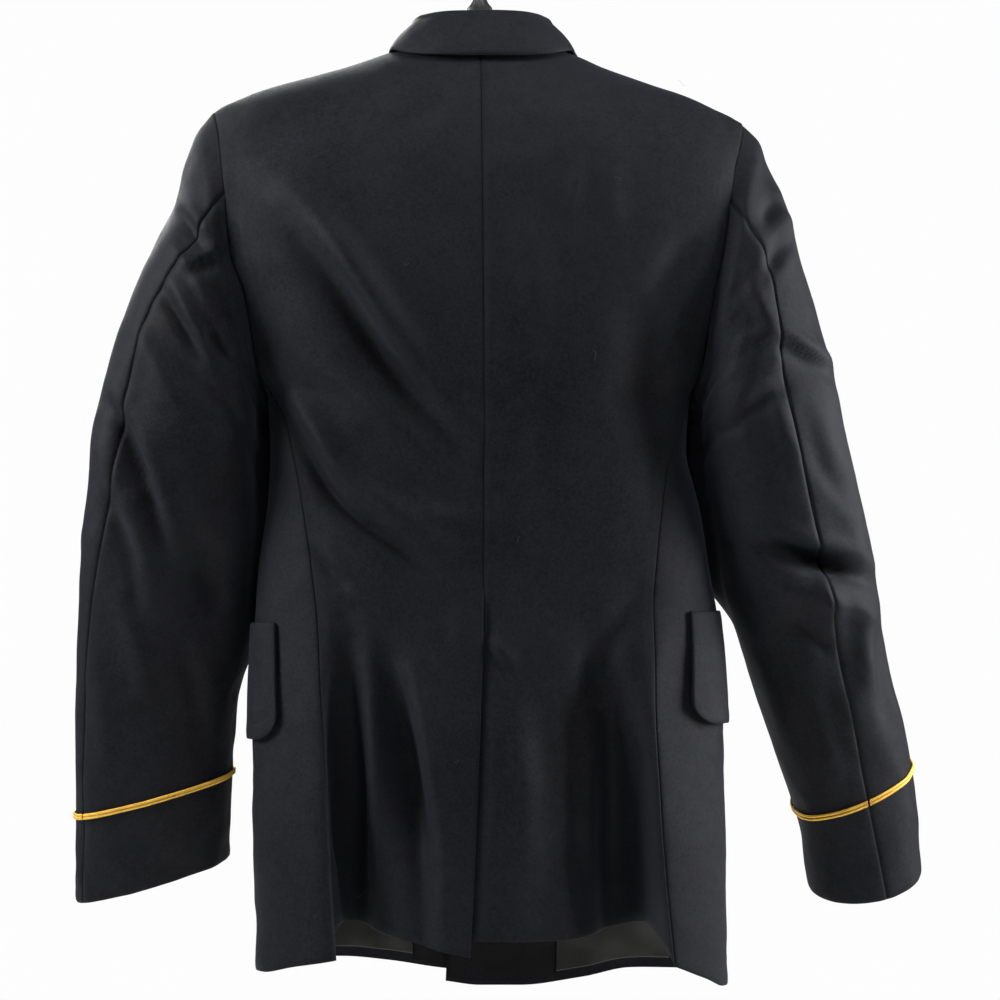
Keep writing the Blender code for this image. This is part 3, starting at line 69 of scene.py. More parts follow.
# The body surface that every panel is cut from, in rings around the wearer.
bodyShape = {
    "tipHeight": {left: -0.1640, right: -0.1748},
    "armholeFoot": -0.4000,
    "sideSeamTop": -0.3850,
    "shoulderLineY": -0.0060,
    "shoulderRounding": 0.0850,
    "armholeBackShare": 0.69,
    "armholeFrontShare": 0.64,
    "armholeRoundness": 0.8,
    "ridgeTop": -0.520,
    "ridgeWidth": 0.040,
    "ridgeHeight": {left: 0.013, right: 0.010},
    "torsoWidths": [  # height, left, right
        (-0.4, 0.178, 0.1745), (-0.42, 0.1777, 0.1718), (-0.445, 0.1766, 0.1705),
        (-0.47, 0.1774, 0.1745), (-0.495, 0.1799, 0.1805), (-0.52, 0.183, 0.185),
        (-0.553, 0.1862, 0.19), (-0.59, 0.188, 0.195), (-0.64, 0.189, 0.1985),
        (-0.752, 0.1885, 0.201), (-0.885, 0.1866, 0.2015),
    ],
    "armholeEdges": [  # height, left, right
        (-0.164, 0.2232, 0.2185), (-0.19, 0.2163, 0.214), (-0.218, 0.2118, 0.2065),
        (-0.245, 0.2082, 0.202), (-0.27, 0.2062, 0.199), (-0.293, 0.2035, 0.195),
        (-0.315, 0.195, 0.1905), (-0.345, 0.1892, 0.1858), (-0.372, 0.185, 0.1825),
        (-0.4, 0.178, 0.1745),
    ],
    "depths": [  # height, back, front, squareness
        (-0.1, 0.05, -0.05, 2.5), (-0.17, 0.064, -0.066, 2.5), (-0.24, 0.073, -0.078, 2.6),
        (-0.3, 0.075, -0.086, 2.6), (-0.36, 0.072, -0.09, 2.6), (-0.42, 0.065, -0.09, 2.6),
        (-0.5, 0.057, -0.084, 2.7), (-0.58, 0.055, -0.083, 2.8), (-0.68, 0.058, -0.085, 2.9),
        (-0.78, 0.059, -0.087, 3.0), (-0.885, 0.059, -0.088, 3.0),
    ],
    "crests": [  # x, left, right
        (0.0, -0.098, -0.098), (0.04, -0.106, -0.106), (0.074, -0.116, -0.117),
        (0.1, -0.1245, -0.128), (0.14, -0.135, -0.1415), (0.18, -0.1458, -0.1555),
        (0.205, -0.155, -0.168), (0.2167, -0.1604, -0.1748), (0.2232, -0.164, -0.178),
    ],
    "backSideSeams": [  # height, left, right
        (-0.385, 0.179, 0.178), (-0.4, 0.1712, 0.1715), (-0.42, 0.1633, 0.166),
        (-0.44, 0.1569, 0.161), (-0.465, 0.1503, 0.153), (-0.5, 0.1445, 0.147),
        (-0.54, 0.1385, 0.142), (-0.585, 0.1328, 0.139), (-0.65, 0.128, 0.139),
        (-0.73, 0.1222, 0.142), (-0.8, 0.1187, 0.147), (-0.865, 0.1148, 0.1537),
    ],
    "frontSideSeams": [  # height, left, right
        (-0.385, 0.169, 0.166), (-0.5, 0.156, 0.158), (-0.64, 0.156, 0.164), (-0.885, 0.154, 0.166),
    ],
    "centreBack": [  # height, x
        (-0.12, 0.0003), (-0.38, -0.0022), (-0.6, -0.0013), (-0.65, 0.0003), (-0.72, 0.0028),
        (-0.78, 0.0052), (-0.86, 0.0092),
    ],
    "frontEdges": [  # height, left, right
        (-0.105, 0.077, -0.077), (-0.116, 0.0738, -0.0738), (-0.15, 0.065, -0.065),
        (-0.22, 0.042, -0.042), (-0.3, 0.012, -0.012), (-0.38, -0.0185, 0.018),
        (-0.46, -0.02, 0.019), (-0.64, -0.022, 0.022), (-0.9, -0.0275, 0.0318),
    ],
    "valleys": [  # side, top, flank, width, depth
        (1, -0.585, 0.011, 0.036, 0.046), (-1, -0.6, 0.014, 0.05, 0.044),
    ],
    "largeFolds": [  # startX, startZ, endX, endZ, width, height
        (0.164, -0.225, 0.03, -0.4, 0.022, 0.004),
        (0.16, -0.275, 0.004, -0.462, 0.022, -0.006),
        (0.12, -0.375, -0.002, -0.462, 0.02, 0.004),
        (0.16, -0.405, 0.03, -0.565, 0.012, -0.0035),
        (0.094, -0.59, 0.036, -0.81, 0.018, -0.009),
        (0.1, -0.6, 0.082, -0.86, 0.016, 0.006),
        (-0.022, -0.62, -0.052, -0.86, 0.024, 0.008),
        (-0.108, -0.56, -0.03, -0.79, 0.026, -0.005),
        (-0.12, -0.29, -0.128, -0.5, 0.018, -0.005),
        (-0.062, -0.22, -0.054, -0.262, 0.01, 0.002),
    ],
}
hems = {
    "back": [  # share, left, right
        (0.0, -0.8586, -0.8457), (0.25, -0.8535, -0.8465), (0.5, -0.8465, -0.8455),
        (0.75, -0.8405, -0.839), (0.93, -0.833, -0.834), (1.0, -0.8608, -0.8668),
    ],
    "side": [  # share, left, right
        (0.0, -0.8608, -0.8668), (0.1, -0.8665, -0.8765), (0.28, -0.8745, -0.887),
        (0.5, -0.875, -0.888), (1.0, -0.875, -0.8845),
    ],
    "front": [  # share, left, right
        (0.0, -0.8915, -0.8975), (0.15, -0.8905, -0.901), (0.35, -0.887, -0.901),
        (0.6, -0.88, -0.8945), (0.8, -0.876, -0.886), (1.0, -0.875, -0.8845),
    ],
}
sleeveShape = {
    "frontSeamAngle": 244,
    "headRun": 0.30,
    "length": 0.67,
    "rings": {  # run, outerX, outerZ, innerX, innerZ, middleY, halfDepth, backDrop, seamAngle
        left: [
            (0.0, 0.2232, -0.164, 0.179, -0.3995, -0.006, 0.06, 0.0, 68),
            (0.03, 0.234, -0.1797, 0.1815, -0.404, -0.005, 0.064, 0.0, 58),
            (0.07, 0.2456, -0.2046, 0.183, -0.409, -0.004, 0.067, 0.0, 53),
            (0.12, 0.2548, -0.2378, 0.184, -0.415, -0.003, 0.069, 0.0, 50),
            (0.17, 0.2709, -0.2707, 0.185, -0.422, -0.003, 0.07, 0.0, 50),
            (0.27, 0.2964, -0.3368, 0.186, -0.442, -0.004, 0.068, 0.0, 51),
            (0.37, 0.3177, -0.4031, 0.1866, -0.4698, -0.006, 0.062, 0.0, 56),
            (0.49, 0.3311, -0.4863, 0.1881, -0.5155, -0.012, 0.052, 0.001, 53),
            (0.565, 0.3359, -0.5364, 0.1906, -0.5448, -0.02, 0.046, 0.002, 45),
            (0.67, 0.3407, -0.6121, 0.1974, -0.6104, -0.034, 0.041, 0.004, 36),
            (0.797, 0.3446, -0.6975, 0.2094, -0.678, -0.05, 0.036, 0.005, 35),
            (0.92, 0.3467, -0.7843, 0.215, -0.748, -0.066, 0.031, 0.006, 33),
            (1.0, 0.3481, -0.8276, 0.2176, -0.7907, -0.075, 0.027, 0.006, 32),
        ],
        right: [
            (0.0, 0.2167, -0.1748, 0.1755, -0.3995, -0.006, 0.06, 0.0, 67),
            (0.028, 0.2283, -0.188, 0.178, -0.404, -0.005, 0.064, 0.0, 60),
            (0.055, 0.235, -0.2046, 0.1795, -0.409, -0.004, 0.067, 0.0, 56),
            (0.112, 0.2507, -0.2378, 0.1805, -0.415, -0.003, 0.069, 0.0, 57),
            (0.165, 0.259, -0.271, 0.1815, -0.421, -0.003, 0.07, 0.0, 66),
            (0.27, 0.2789, -0.3367, 0.1835, -0.437, -0.004, 0.068, 0.0, 78),
            (0.376, 0.2961, -0.403, 0.185, -0.456, -0.006, 0.064, 0.001, 79),
            (0.481, 0.3103, -0.4695, 0.188, -0.4903, -0.012, 0.057, 0.002, 74),
            (0.588, 0.3275, -0.5363, 0.2027, -0.5573, -0.024, 0.051, 0.004, 75),
            (0.694, 0.339, -0.6038, 0.2235, -0.6252, -0.04, 0.048, 0.008, 75),
            (0.804, 0.3571, -0.6724, 0.2482, -0.6941, -0.06, 0.047, 0.013, 78),
            (0.914, 0.3719, -0.7421, 0.2722, -0.764, -0.08, 0.046, 0.018, 82),
            (1.0, 0.3794, -0.7972, 0.2792, -0.8119, -0.09, 0.045, 0.022, 72),
        ],
    },
}


def curveOf(rows, column, key=0):
    # a smooth curve through one column of a table: it never overshoots a row and is level past both ends
    ordered = sorted(rows, key=lambda row: row[key])
    at = np.array([row[key] for row in ordered], float)
    values = np.array([row[column] for row in ordered], float)
    widths = np.diff(at)
    slopes = np.diff(values) / widths
    tangents = np.zeros(len(at))
    tangents[0], tangents[-1] = slopes[0], slopes[-1]
    for i in range(1, len(at) - 1):
        if slopes[i - 1] * slopes[i] > 0:
            tangents[i] = 2 / (1 / slopes[i - 1] + 1 / slopes[i])

    def read(position):
        position = np.clip(np.asarray(position, float), at[0], at[-1])
        i = np.clip(np.searchsorted(at, position) - 1, 0, len(widths) - 1)
        t = (position - at[i]) / widths[i]
        start = values[i] * (1 + 2 * t) * (1 - t) ** 2 + tangents[i] * widths[i] * t * (1 - t) ** 2
        end = values[i + 1] * t * t * (3 - 2 * t) - tangents[i + 1] * widths[i] * t * t * (1 - t)
        return start + end

    return read


def twoSides(rows):
    return {left: curveOf(rows, 1), right: curveOf(rows, 2)}


def ease(t):
    t = np.clip(t, 0, 1)
    return t * t * (3 - 2 * t)


def between(start, end, share):
    return start + (end - start) * share


def bell(x):
    return np.exp(-(x**2))


def unit(vectors):
    return vectors / np.maximum(np.linalg.norm(vectors, axis=-1, keepdims=True), 1e-12)


torsoWidth = twoSides(bodyShape["torsoWidths"])
armholeEdge = twoSides(bodyShape["armholeEdges"])
crestHeight = twoSides(bodyShape["crests"])
backSeamTable = twoSides(bodyShape["backSideSeams"])
frontSeamTable = twoSides(bodyShape["frontSideSeams"])
frontEdge = twoSides(bodyShape["frontEdges"])
backDepth = curveOf(bodyShape["depths"], 1)
frontDepth = curveOf(bodyShape["depths"], 2)
squareness = curveOf(bodyShape["depths"], 3)
centreBack = curveOf(bodyShape["centreBack"], 1)
backHem, sideHem, frontHem = (twoSides(hems[name]) for name in ("back", "side", "front"))
foot = bodyShape["armholeFoot"]
seamTop = bodyShape["sideSeamTop"]
tipHeight = bodyShape["tipHeight"]
lineY = bodyShape["shoulderLineY"]


def armholeOpening(side, z):
    share = np.clip((z - foot) / (tipHeight[side] - foot), 0, 1)
    return (2 * np.sqrt(share * (1 - share))) ** bodyShape["armholeRoundness"]


def halfWidth(side, z):
    # above the underarm it is the ring that the armhole cuts
    power = squareness(z)
    cut = bodyShape["armholeBackShare"] * armholeOpening(side, z)
    return np.where(z < foot, torsoWidth[side](z), armholeEdge[side](z) / (1 - cut**power) ** (1 / power))


def angleOfX(x, z, front):
    # ring angle at a world x: 0 is the centre back, 180 the centre front
    x = np.asarray(x, float)
    width = np.where(x >= 0, halfWidth(left, z), halfWidth(right, z))
    across = np.clip(np.abs(x) / width, 0, 1)
    power = squareness(z)
    along = (1 - across**power) ** (1 / power)
    angle = np.degrees(np.arctan2(across, -along if front else along))
    return np.where(x >= 0, angle, -angle)


def armholeAngle(side, z, front):
    along = bodyShape["armholeFrontShare" if front else "armholeBackShare"] * armholeOpening(side, z)
    power = squareness(z)
    across = (1 - along**power) ** (1 / power)
    return side * np.degrees(np.arctan2(across, -along if front else along))


def reachOf(turn, power):
    return (np.abs(np.sin(turn)) ** power + np.abs(np.cos(turn)) ** power) ** (-1 / power)


def armholeFloor(side, angle, z):
    turn = np.radians(np.abs(angle))
    along = np.cos(turn) * reachOf(turn, squareness(z))
    share = np.where(along > 0, bodyShape["armholeBackShare"], bodyShape["armholeFrontShare"])
    opening = np.clip(np.abs(along) / share, 0, 1) ** (1 / bodyShape["armholeRoundness"])
    return foot + (1 - np.sqrt(1 - opening**2)) / 2 * (tipHeight[side] - foot)


def armholeX(side, z, front):
    turn = np.radians(armholeAngle(side, z, front))
    return halfWidth(side, z) * reachOf(turn, squareness(z)) * np.abs(np.sin(turn))


def sideSeamX(side, z, front):
    table = (frontSeamTable if front else backSeamTable)[side]
    miss = armholeX(side, np.float64(seamTop), front) - table(seamTop)
    return table(z) + miss * (1 - ease((seamTop - z) / 0.04))


def outerX(side, z, front):
    # the armhole's edge, and the side seam below it
    above = armholeX(side, np.clip(z, seamTop, tipHeight[side]), front)
    return np.where(z > seamTop, above, sideSeamX(side, z, front))


def largeFolds(x, z):
    total = np.zeros(np.broadcast(x, z).shape)
    for startX, startZ, endX, endZ, width, height in bodyShape["largeFolds"]:
        runX, runZ = endX - startX, endZ - startZ
        length = math.hypot(runX, runZ)
        along = ((x - startX) * runX + (z - startZ) * runZ) / length**2
        across = ((x - startX) * runZ - (z - startZ) * runX) / length
        total = total + height * np.sin(np.pi * np.clip(along, 0, 1)) ** 2 * bell(across / width)
    for side in (left, right):
        out = side * x
        grow = ease((bodyShape["ridgeTop"] - z) / 0.22)
        ridge = bell((out - sideSeamX(side, z, False)) / bodyShape["ridgeWidth"])
        total = total + np.where(out > 0, bodyShape["ridgeHeight"][side] * grow * ridge, 0)
    for side, top, flank, width, depth in bodyShape["valleys"]:
        inward = sideSeamX(side, z, False) - side * x
        drop = depth * ease((top - z) / (top + 0.80)) * ease(inward / flank)
        drop = drop * bell(np.maximum(inward - flank, 0) / width)
        total = total - np.where((inward > 0) & (side * x > 0), drop, 0)
    return total


def crestAt(x, out):
    return np.where(x >= 0, crestHeight[left](out), crestHeight[right](out))


def body(angle, z):
    # a point of the body surface, by ring angle (positive to the wearer's left) and height
    z = np.asarray(z, float)
    turn = np.radians(angle)
    across, along = np.sin(turn), np.cos(turn)
    reach = reachOf(turn, squareness(z))
    width = np.where(across >= 0, halfWidth(left, z), halfWidth(right, z))
    depth = np.where(along >= 0, backDepth(z) - lineY, lineY - frontDepth(z))
    x = width * reach * across
    y = depth * reach * along
    step = np.where(along > 0, largeFolds(x, z), 0)
    lean = np.abs(across) ** 3
    x = x + step * lean * np.sign(across)
    y = y + step * (1 - lean)
    below = crestAt(x, np.abs(x)) - z
    rounded = np.sqrt(np.clip(1 - (1 - np.clip(below / bodyShape["shoulderRounding"], 0, 1)) ** 2, 0, 1))
    return np.stack([x, lineY + y * rounded, z + 0 * x], axis=-1)


def bodyNormal(angle, z):
    # on the shoulder's crest it stands square to the crest line
    angle, z = np.asarray(angle, float), np.asarray(z, float)
    x = body(angle, z)[..., 0]
    out = np.abs(x)
    below = crestAt(x, out) - z
    step = np.clip(below * 0.3, 0.00002, 0.0004)
    across = body(angle + 0.15, z) - body(angle - 0.15, z)
    down = body(angle, z - step) - body(angle, z + np.minimum(step, np.maximum(below, 0)))
    normal = unit(np.cross(across, down))
    rise = crestAt(x, out + 0.002) - crestAt(x, out - 0.002)
    crest = np.stack([-np.sign(x) * rise / 0.004, 0 * out, 1 + 0 * out], axis=-1)
    share = ease((below - 0.0004) / 0.0030)[..., None]
    return unit(unit(crest) * (1 - share) + normal * share)


def spread(count, edge):
    # even steps from 0 to 1, with two close ones at each end where the cloth turns over its edge
    near = np.array([0, edge, edge * 2.4])
    return np.concatenate([near, np.linspace(0, 1, count + 1)[1:-1], 1 - near[::-1]])


armholeTurn = math.acos(2 * (seamTop - foot) / (tipHeight[left] - foot) - 1)


def armholeShares(count):
    turns = armholeTurn * np.concatenate([[0, 0.012], np.linspace(0, 1, count + 1)[1:]])
    return (1 - np.cos(turns)) / (1 - math.cos(armholeTurn))


def columnHeights(top, hem, upperRows, lowerRows):
    upper = between(top, seamTop, armholeShares(upperRows)[:, None])
    return np.concatenate([upper, between(seamTop, hem, spread(lowerRows, 0.0015)[3:, None])])


def columnTops(xAt, topLine, side, count):
    z = np.full(count, tipHeight[side])
    for _ in range(40):  # each column's top settles on the line
        z = 0.5 * z + 0.5 * topLine(side, xAt(z))
    return z


def yarnNoise(x, z, size, seed):
    # soft random bumps between -1 and 1, on a square net of that size
    table = np.random.default_rng(seed).uniform(-1, 1, (64, 64))
    i, j = x / size + 500, z / size + 500
    i0, j0 = np.floor(i).astype(int), np.floor(j).astype(int)
    u, v = ease(i - i0), ease(j - j0)
    low, high = (table[i0 % 64, j % 64] * (1 - u) + table[(i0 + 1) % 64, j % 64] * u for j in (j0, j0 + 1))
    return low * (1 - v) + high * v


def smoothPath(points, parts=10):
    # the creases run through their points in a soft curve
    points = np.asarray(points, float)
    if len(points) < 3:
        return points
    ends = np.concatenate([[2 * points[0] - points[1]], points, [2 * points[-1] - points[-2]]])
    steps = np.linspace(0, 1, parts, endpoint=False)[:, None]
    rows = []
    for a, b, c, d in zip(ends, ends[1:], ends[2:], ends[3:]):
        bend, sway = a - 2.5 * b + 2 * c - 0.5 * d, 1.5 * (b - c) + 0.5 * (d - a)
        rows.append(b + 0.5 * steps * (c - a) + steps**2 * bend + steps**3 * sway)
    return np.concatenate(rows + [points[-1:]])


def creaseHeight(x, z, rows):
    # each row: height, width, bank (how much the cloth heaps up on one side), then the points as x and z in mm
    total = np.zeros(np.broadcast(x, z).shape)
    for height, width, bank, *points in rows:
        path = smoothPath(np.array(points) / 1000)
        height, width = height / 1000, width / 1000
        reach = width * 4
        near = (x > path[:, 0].min() - reach) & (x < path[:, 0].max() + reach)
        near &= (z > path[:, 1].min() - reach) & (z < path[:, 1].max() + reach)
        if not near.any():
            continue
        px, pz = (x + 0 * z)[near], (z + 0 * x)[near]
        lengths = np.concatenate([[0], np.cumsum(np.linalg.norm(np.diff(path, axis=0), axis=1))])
        best, along, signed = np.full(px.shape, 9.0), np.zeros(px.shape), np.zeros(px.shape)
        for a, b, start in zip(path, path[1:], lengths):
            run = b - a
            size = math.hypot(*run)
            t = np.clip(((px - a[0]) * run[0] + (pz - a[1]) * run[1]) / size**2, 0, 1)
            dx, dz = px - a[0] - t * run[0], pz - a[1] - t * run[1]
            far = np.hypot(dx, dz)
            closer = far < best
            best = np.where(closer, far, best)
            along = np.where(closer, (start + t * size) / lengths[-1], along)
            signed = np.where(closer, np.sign(dx * run[1] - dz * run[0]) * far, signed)
        swell = np.sin(np.pi * np.clip(along, 0.02, 0.98)) ** 0.8
        form = bell(signed / width) - bank * bell((signed - 1.7 * width) / (1.2 * width))
        total[near] += height * swell * form * bell(np.maximum(best - np.abs(signed), 0) / width)
    return total


print("body surface ready")


def connect(tree, node, inputs):
    # each named input takes a link from another node's socket, or else a constant
    for key, value in inputs.items():
        if hasattr(value, "links"):
            tree.links.new(value, node.inputs[key])
        else:
            node.inputs[key].default_value = value


def add(tree, kind, inputs=None, **settings):
    # nodes stand in rows of eight in the order they are made
    node = tree.nodes.new(kind)
    count = len(tree.nodes)
    node.location = (220 * (count % 8) - 1700, 500 - 260 * (count // 8))
    for key, value in settings.items():
        setattr(node, key, value)
    connect(tree, node, inputs or {})
    return node


def calc(tree, operation, *values):
    return add(tree, "ShaderNodeMath", dict(enumerate(values)), operation=operation).outputs[0]


def weighted(tree, *terms):
    # the sum of each value times its weight
    total = None
    for value, weight in terms:
        if weight:
            part = value if weight == 1 else calc(tree, "MULTIPLY", value, weight)
            total = part if total is None else calc(tree, "ADD", total, part)
    return total


def ramp(tree, factor, *stops):
    node = add(tree, "ShaderNodeValToRGB", {"Fac": factor})
    elements = node.color_ramp.elements
    while len(elements) < len(stops):
        elements.new(0.5)
    for element, (at, colour) in zip(elements, stops):
        element.position = at
        element.color = (*colour, 1)
    return node.outputs["Color"]


def noise(tree, vector, scale, detail=3, roughness=0.55):
    inputs = {"Vector": vector, "Scale": scale, "Detail": detail, "Roughness": roughness}
    return add(tree, "ShaderNodeTexNoise", inputs).outputs["Fac"]


def mix(tree, factor, first, second):
    inputs = {"Factor": factor, 6: first, 7: (*second, 1)}  # 6 and 7 are the two colours
    return add(tree, "ShaderNodeMix", inputs, data_type="RGBA").outputs[2]


def bump(tree, height, strength, distance, **below):
    inputs = {"Height": height, "Strength": strength, "Distance": distance, **below}
    return add(tree, "ShaderNodeBump", inputs).outputs["Normal"]


def nodeMaterial(name):
    made = bpy.data.materials.new(name)
    made.use_nodes = True
    return made, made.node_tree, made.node_tree.nodes["Principled BSDF"]


def clothPlace(tree):
    # wool and lining are woven on the pieces' UV maps, which are in metres along and across the cloth
    uv = add(tree, "ShaderNodeUVMap", uv_map="clothUv").outputs["UV"]
    inMm = add(tree, "ShaderNodeMapping", {"Vector": uv, "Scale": (1000, 1000, 1000)}).outputs["Vector"]
    split = add(tree, "ShaderNodeSeparateXYZ", {"Vector": inMm}).outputs
    return inMm, split["X"], split["Y"]


woolSettings = {
    "deep": (0.0021, 0.0023, 0.0032),
    "raised": (0.0100, 0.0106, 0.0146),
    "lint": (0.20, 0.20, 0.21),
    "twillPitch": 0.75,  # mm
    "roughness": 0.62,
    "specular": 0.11,
    "sheen": 0.05,
    "sheenTint": (0.55, 0.58, 0.70),
}


def clothMaterial(name, settings):
    made, tree, shader = nodeMaterial(name)
    inMm, x, y = clothPlace(tree)
    fuzz = noise(tree, inMm, 1.1, 4, 0.62)
    # yarns wander a little, so the twill lines aren't ruled
    diagonal = weighted(tree, (x, 1), (y, 1), (fuzz, 0.55))
    ridges = calc(tree, "SINE", calc(tree, "MULTIPLY", diagonal, 2 * math.pi / settings["twillPitch"]))
    across = calc(tree, "SUBTRACT", x, y)
    floats = calc(tree, "SINE", calc(tree, "MULTIPLY", across, 1.3 * math.pi / settings["twillPitch"]))
    height = weighted(tree, (ridges, 0.32), (floats, 0.10), (fuzz, 1))
    # cloudy shade from handling, brushed nap and flecks
    where = add(tree, "ShaderNodeTexCoord").outputs["Object"]
    cloud, nap = noise(tree, where, 7.0, 4, 0.6), noise(tree, where, 95.0, 3, 0.7)
    fleck = noise(tree, where, 420.0, 3, 0.75)
    shade = weighted(tree, (height, 0.34), (cloud, 0.42), (nap, 0.26), (fleck, 0.75))
    colour = ramp(tree, shade, (0.79, settings["deep"]), (0.94, settings["raised"]))
    # painted shade along seams and edges: the colour darkens where the cloth dips into its seam and edge
    # grooves
    seamShadeMask = add(tree, "ShaderNodeAttribute", attribute_name="seamShade").outputs["Fac"]
    colour = mix(tree, calc(tree, "MULTIPLY", seamShadeMask, 0.6), colour, [0.45 * v for v in settings["deep"]])
    # lint: a few short pale fibres and specks
    specks = ramp(tree, noise(tree, inMm, 0.42, 2, 0.4), (0.775, (0, 0, 0)), (0.80, (1, 1, 1)))
    ripple = bump(tree, noise(tree, where, 26.0, 3, 0.5), 0.5, 0.0011)
    connect(tree, shader, {
        "Base Color": mix(tree, calc(tree, "MULTIPLY", specks, 0.16), colour, settings["lint"]),
        "Normal": bump(tree, weighted(tree, (height, 1), (nap, 0.8)), 0.55, 0.00016, Normal=ripple),
        "Roughness": settings["roughness"],
        "Specular IOR Level": settings["specular"],
        "Sheen Weight": settings["sheen"],
        "Sheen Roughness": 0.45,
        "Sheen Tint": (*settings["sheenTint"], 1),
    })
    return made


facingSettings = dict(woolSettings, deep=(0.0030, 0.0031, 0.0038), raised=(0.0080, 0.0082, 0.0098))
liningSettings = {
    "dark": (0.0030, 0.0030, 0.0024),
    "light": (0.0110, 0.0108, 0.0088),
    "rib": 0.42,  # mm
    "roughness": 0.29,
}


def satinMaterial(name, settings):
    made, tree, shader = nodeMaterial(name)
    inMm, _, y = clothPlace(tree)
    ribs = calc(tree, "SINE", calc(tree, "MULTIPLY", y, 2 * math.pi / settings["rib"]))
    drawn = add(tree, "ShaderNodeMapping", {"Vector": inMm, "Scale": (0.9, 0.05, 1)}).outputs["Vector"]
    streaks = noise(tree, drawn, 1.0, 4, 0.6)
    shade = weighted(tree, (ribs, 0.08), (streaks, 1))
    connect(tree, shader, {
        "Base Color": ramp(tree, shade, (0.3, settings["dark"]), (0.72, settings["light"])),
        "Normal": bump(tree, shade, 0.4, 0.00012),
        "Roughness": weighted(tree, (streaks, 0.18), (settings["roughness"], 1)),
        "Specular IOR Level": 0.45,
        "Sheen Weight": 0.15,
    })
    return made


# Trim: each noise is scale, detail and roughness. Rough is how far the stain roughens it, and its smoothest.
threadGrain = (1500.0, 2, 0.5)
trimSettings = {
    "goldBraidThread": {
        "stain": (45.0, 3, 0.6), "grain": (900.0, 3, 0.6), "grainShare": 0.6,
        "tones": ((0.3, (0.30, 0.150, 0.012)), (0.5, (0.80, 0.47, 0.055)), (0.72, (0.95, 0.68, 0.16))),
        "rough": (0.22, 0.31), "bump": (0.35, 0.0001), "metal": 0.35, "specular": 0.5,
    },
    "domeBrass": {
        "stain": (160.0, 4, 0.6), "grain": (1400.0, 2, 0.5), "grainShare": 0,
        "tones": ((0.34, (0.52, 0.34, 0.12)), (0.58, (0.83, 0.60, 0.25))),
        "rough": (0.25, 0.12), "bump": (0.12, 0.00008), "metal": 1.0, "specular": 0.5,
    },
    "mouldedPlastic": {
        "stain": (70.0, 5, 0.65), "grain": (1800.0, 2, 0.5), "grainShare": 0,
        "tones": ((0.4, (0.010, 0.010, 0.011)), (0.75, (0.026, 0.026, 0.028))),
        "rough": (0.3, 0.22), "bump": (0.2, 0.00007), "metal": 0.0, "specular": 0.5,
    },
    "sewingThread": {
        "stain": threadGrain, "grain": threadGrain, "grainShare": 0,
        "tones": ((0.35, (0.006, 0.006, 0.008)), (0.65, (0.020, 0.021, 0.026))),
        "rough": (0, 0.55), "bump": (0.4, 0.00008), "metal": 0.0, "specular": 0.3,
    },
    "lintFibre": {
        "stain": threadGrain, "grain": threadGrain, "grainShare": 0,
        "tones": ((0.35, (0.05, 0.05, 0.052)), (0.65, (0.12, 0.12, 0.125))),
        "rough": (0, 0.7), "bump": (0.4, 0.00008), "metal": 0.0, "specular": 0.3,
    },
}


def trimMaterial(name):
    settings = trimSettings[name]
    made, tree, shader = nodeMaterial(name)
    where = add(tree, "ShaderNodeTexCoord").outputs["Object"]
    stain, grain = (noise(tree, where, *settings[kind]) for kind in ("stain", "grain"))
    tone = weighted(tree, (grain, settings["grainShare"]), (stain, 1 - settings["grainShare"]))
    stained, smoothest = settings["rough"]
    connect(tree, shader, {
        "Base Color": ramp(tree, tone, *settings["tones"]),
        "Normal": bump(tree, grain, *settings["bump"]),
        "Roughness": weighted(tree, (stain, stained), (smoothest, 1)),
        "Metallic": settings["metal"],
        "Specular IOR Level": settings["specular"],
    })
    return made


wool = clothMaterial("uniformWool", woolSettings)
facingWool = clothMaterial("facingWool", facingSettings)
liningSatin = satinMaterial("liningSatin", liningSettings)
goldThread, brass, blackPlastic, sewingThread, lintThread = (trimMaterial(name) for name in trimSettings)
print("materials ready")


def place(name, mesh, materials, node=None):
    # every piece sits at the origin with its place in its mesh, and rides on the one body
    piece = bpy.data.objects.new(name, mesh)
    scene.collection.objects.link(piece)
    for finish in materials:
        mesh.materials.append(finish)
    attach(piece, "root")
    if node:
        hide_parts(node)
    return piece


def meshOf(name, points, faces, uv=None, slots=None, seamShade=None, sharpAngle=None):
    mesh = bpy.data.meshes.new(name)
    mesh.from_pydata(points.tolist(), [], faces.tolist() if hasattr(faces, "tolist") else faces)
    if uv is not None:
        layer = mesh.uv_layers.new(name="clothUv")
        corners = np.empty(len(mesh.loops), np.int32)
        mesh.loops.foreach_get("vertex_index", corners)
        layer.data.foreach_set("uv", uv[corners].ravel())
    if slots is not None:
        mesh.polygons.foreach_set("material_index", slots)
    if seamShade is not None:
        # the mask of painted shade along seams and edges, which darkens the cloth's colour there
        mesh.attributes.new("seamShade", "FLOAT", "POINT").data.foreach_set("value", seamShade)
    mesh.shade_smooth()
    if sharpAngle:
        mesh.set_sharp_from_angle(angle=math.radians(sharpAngle))
    mesh.update()
    return mesh


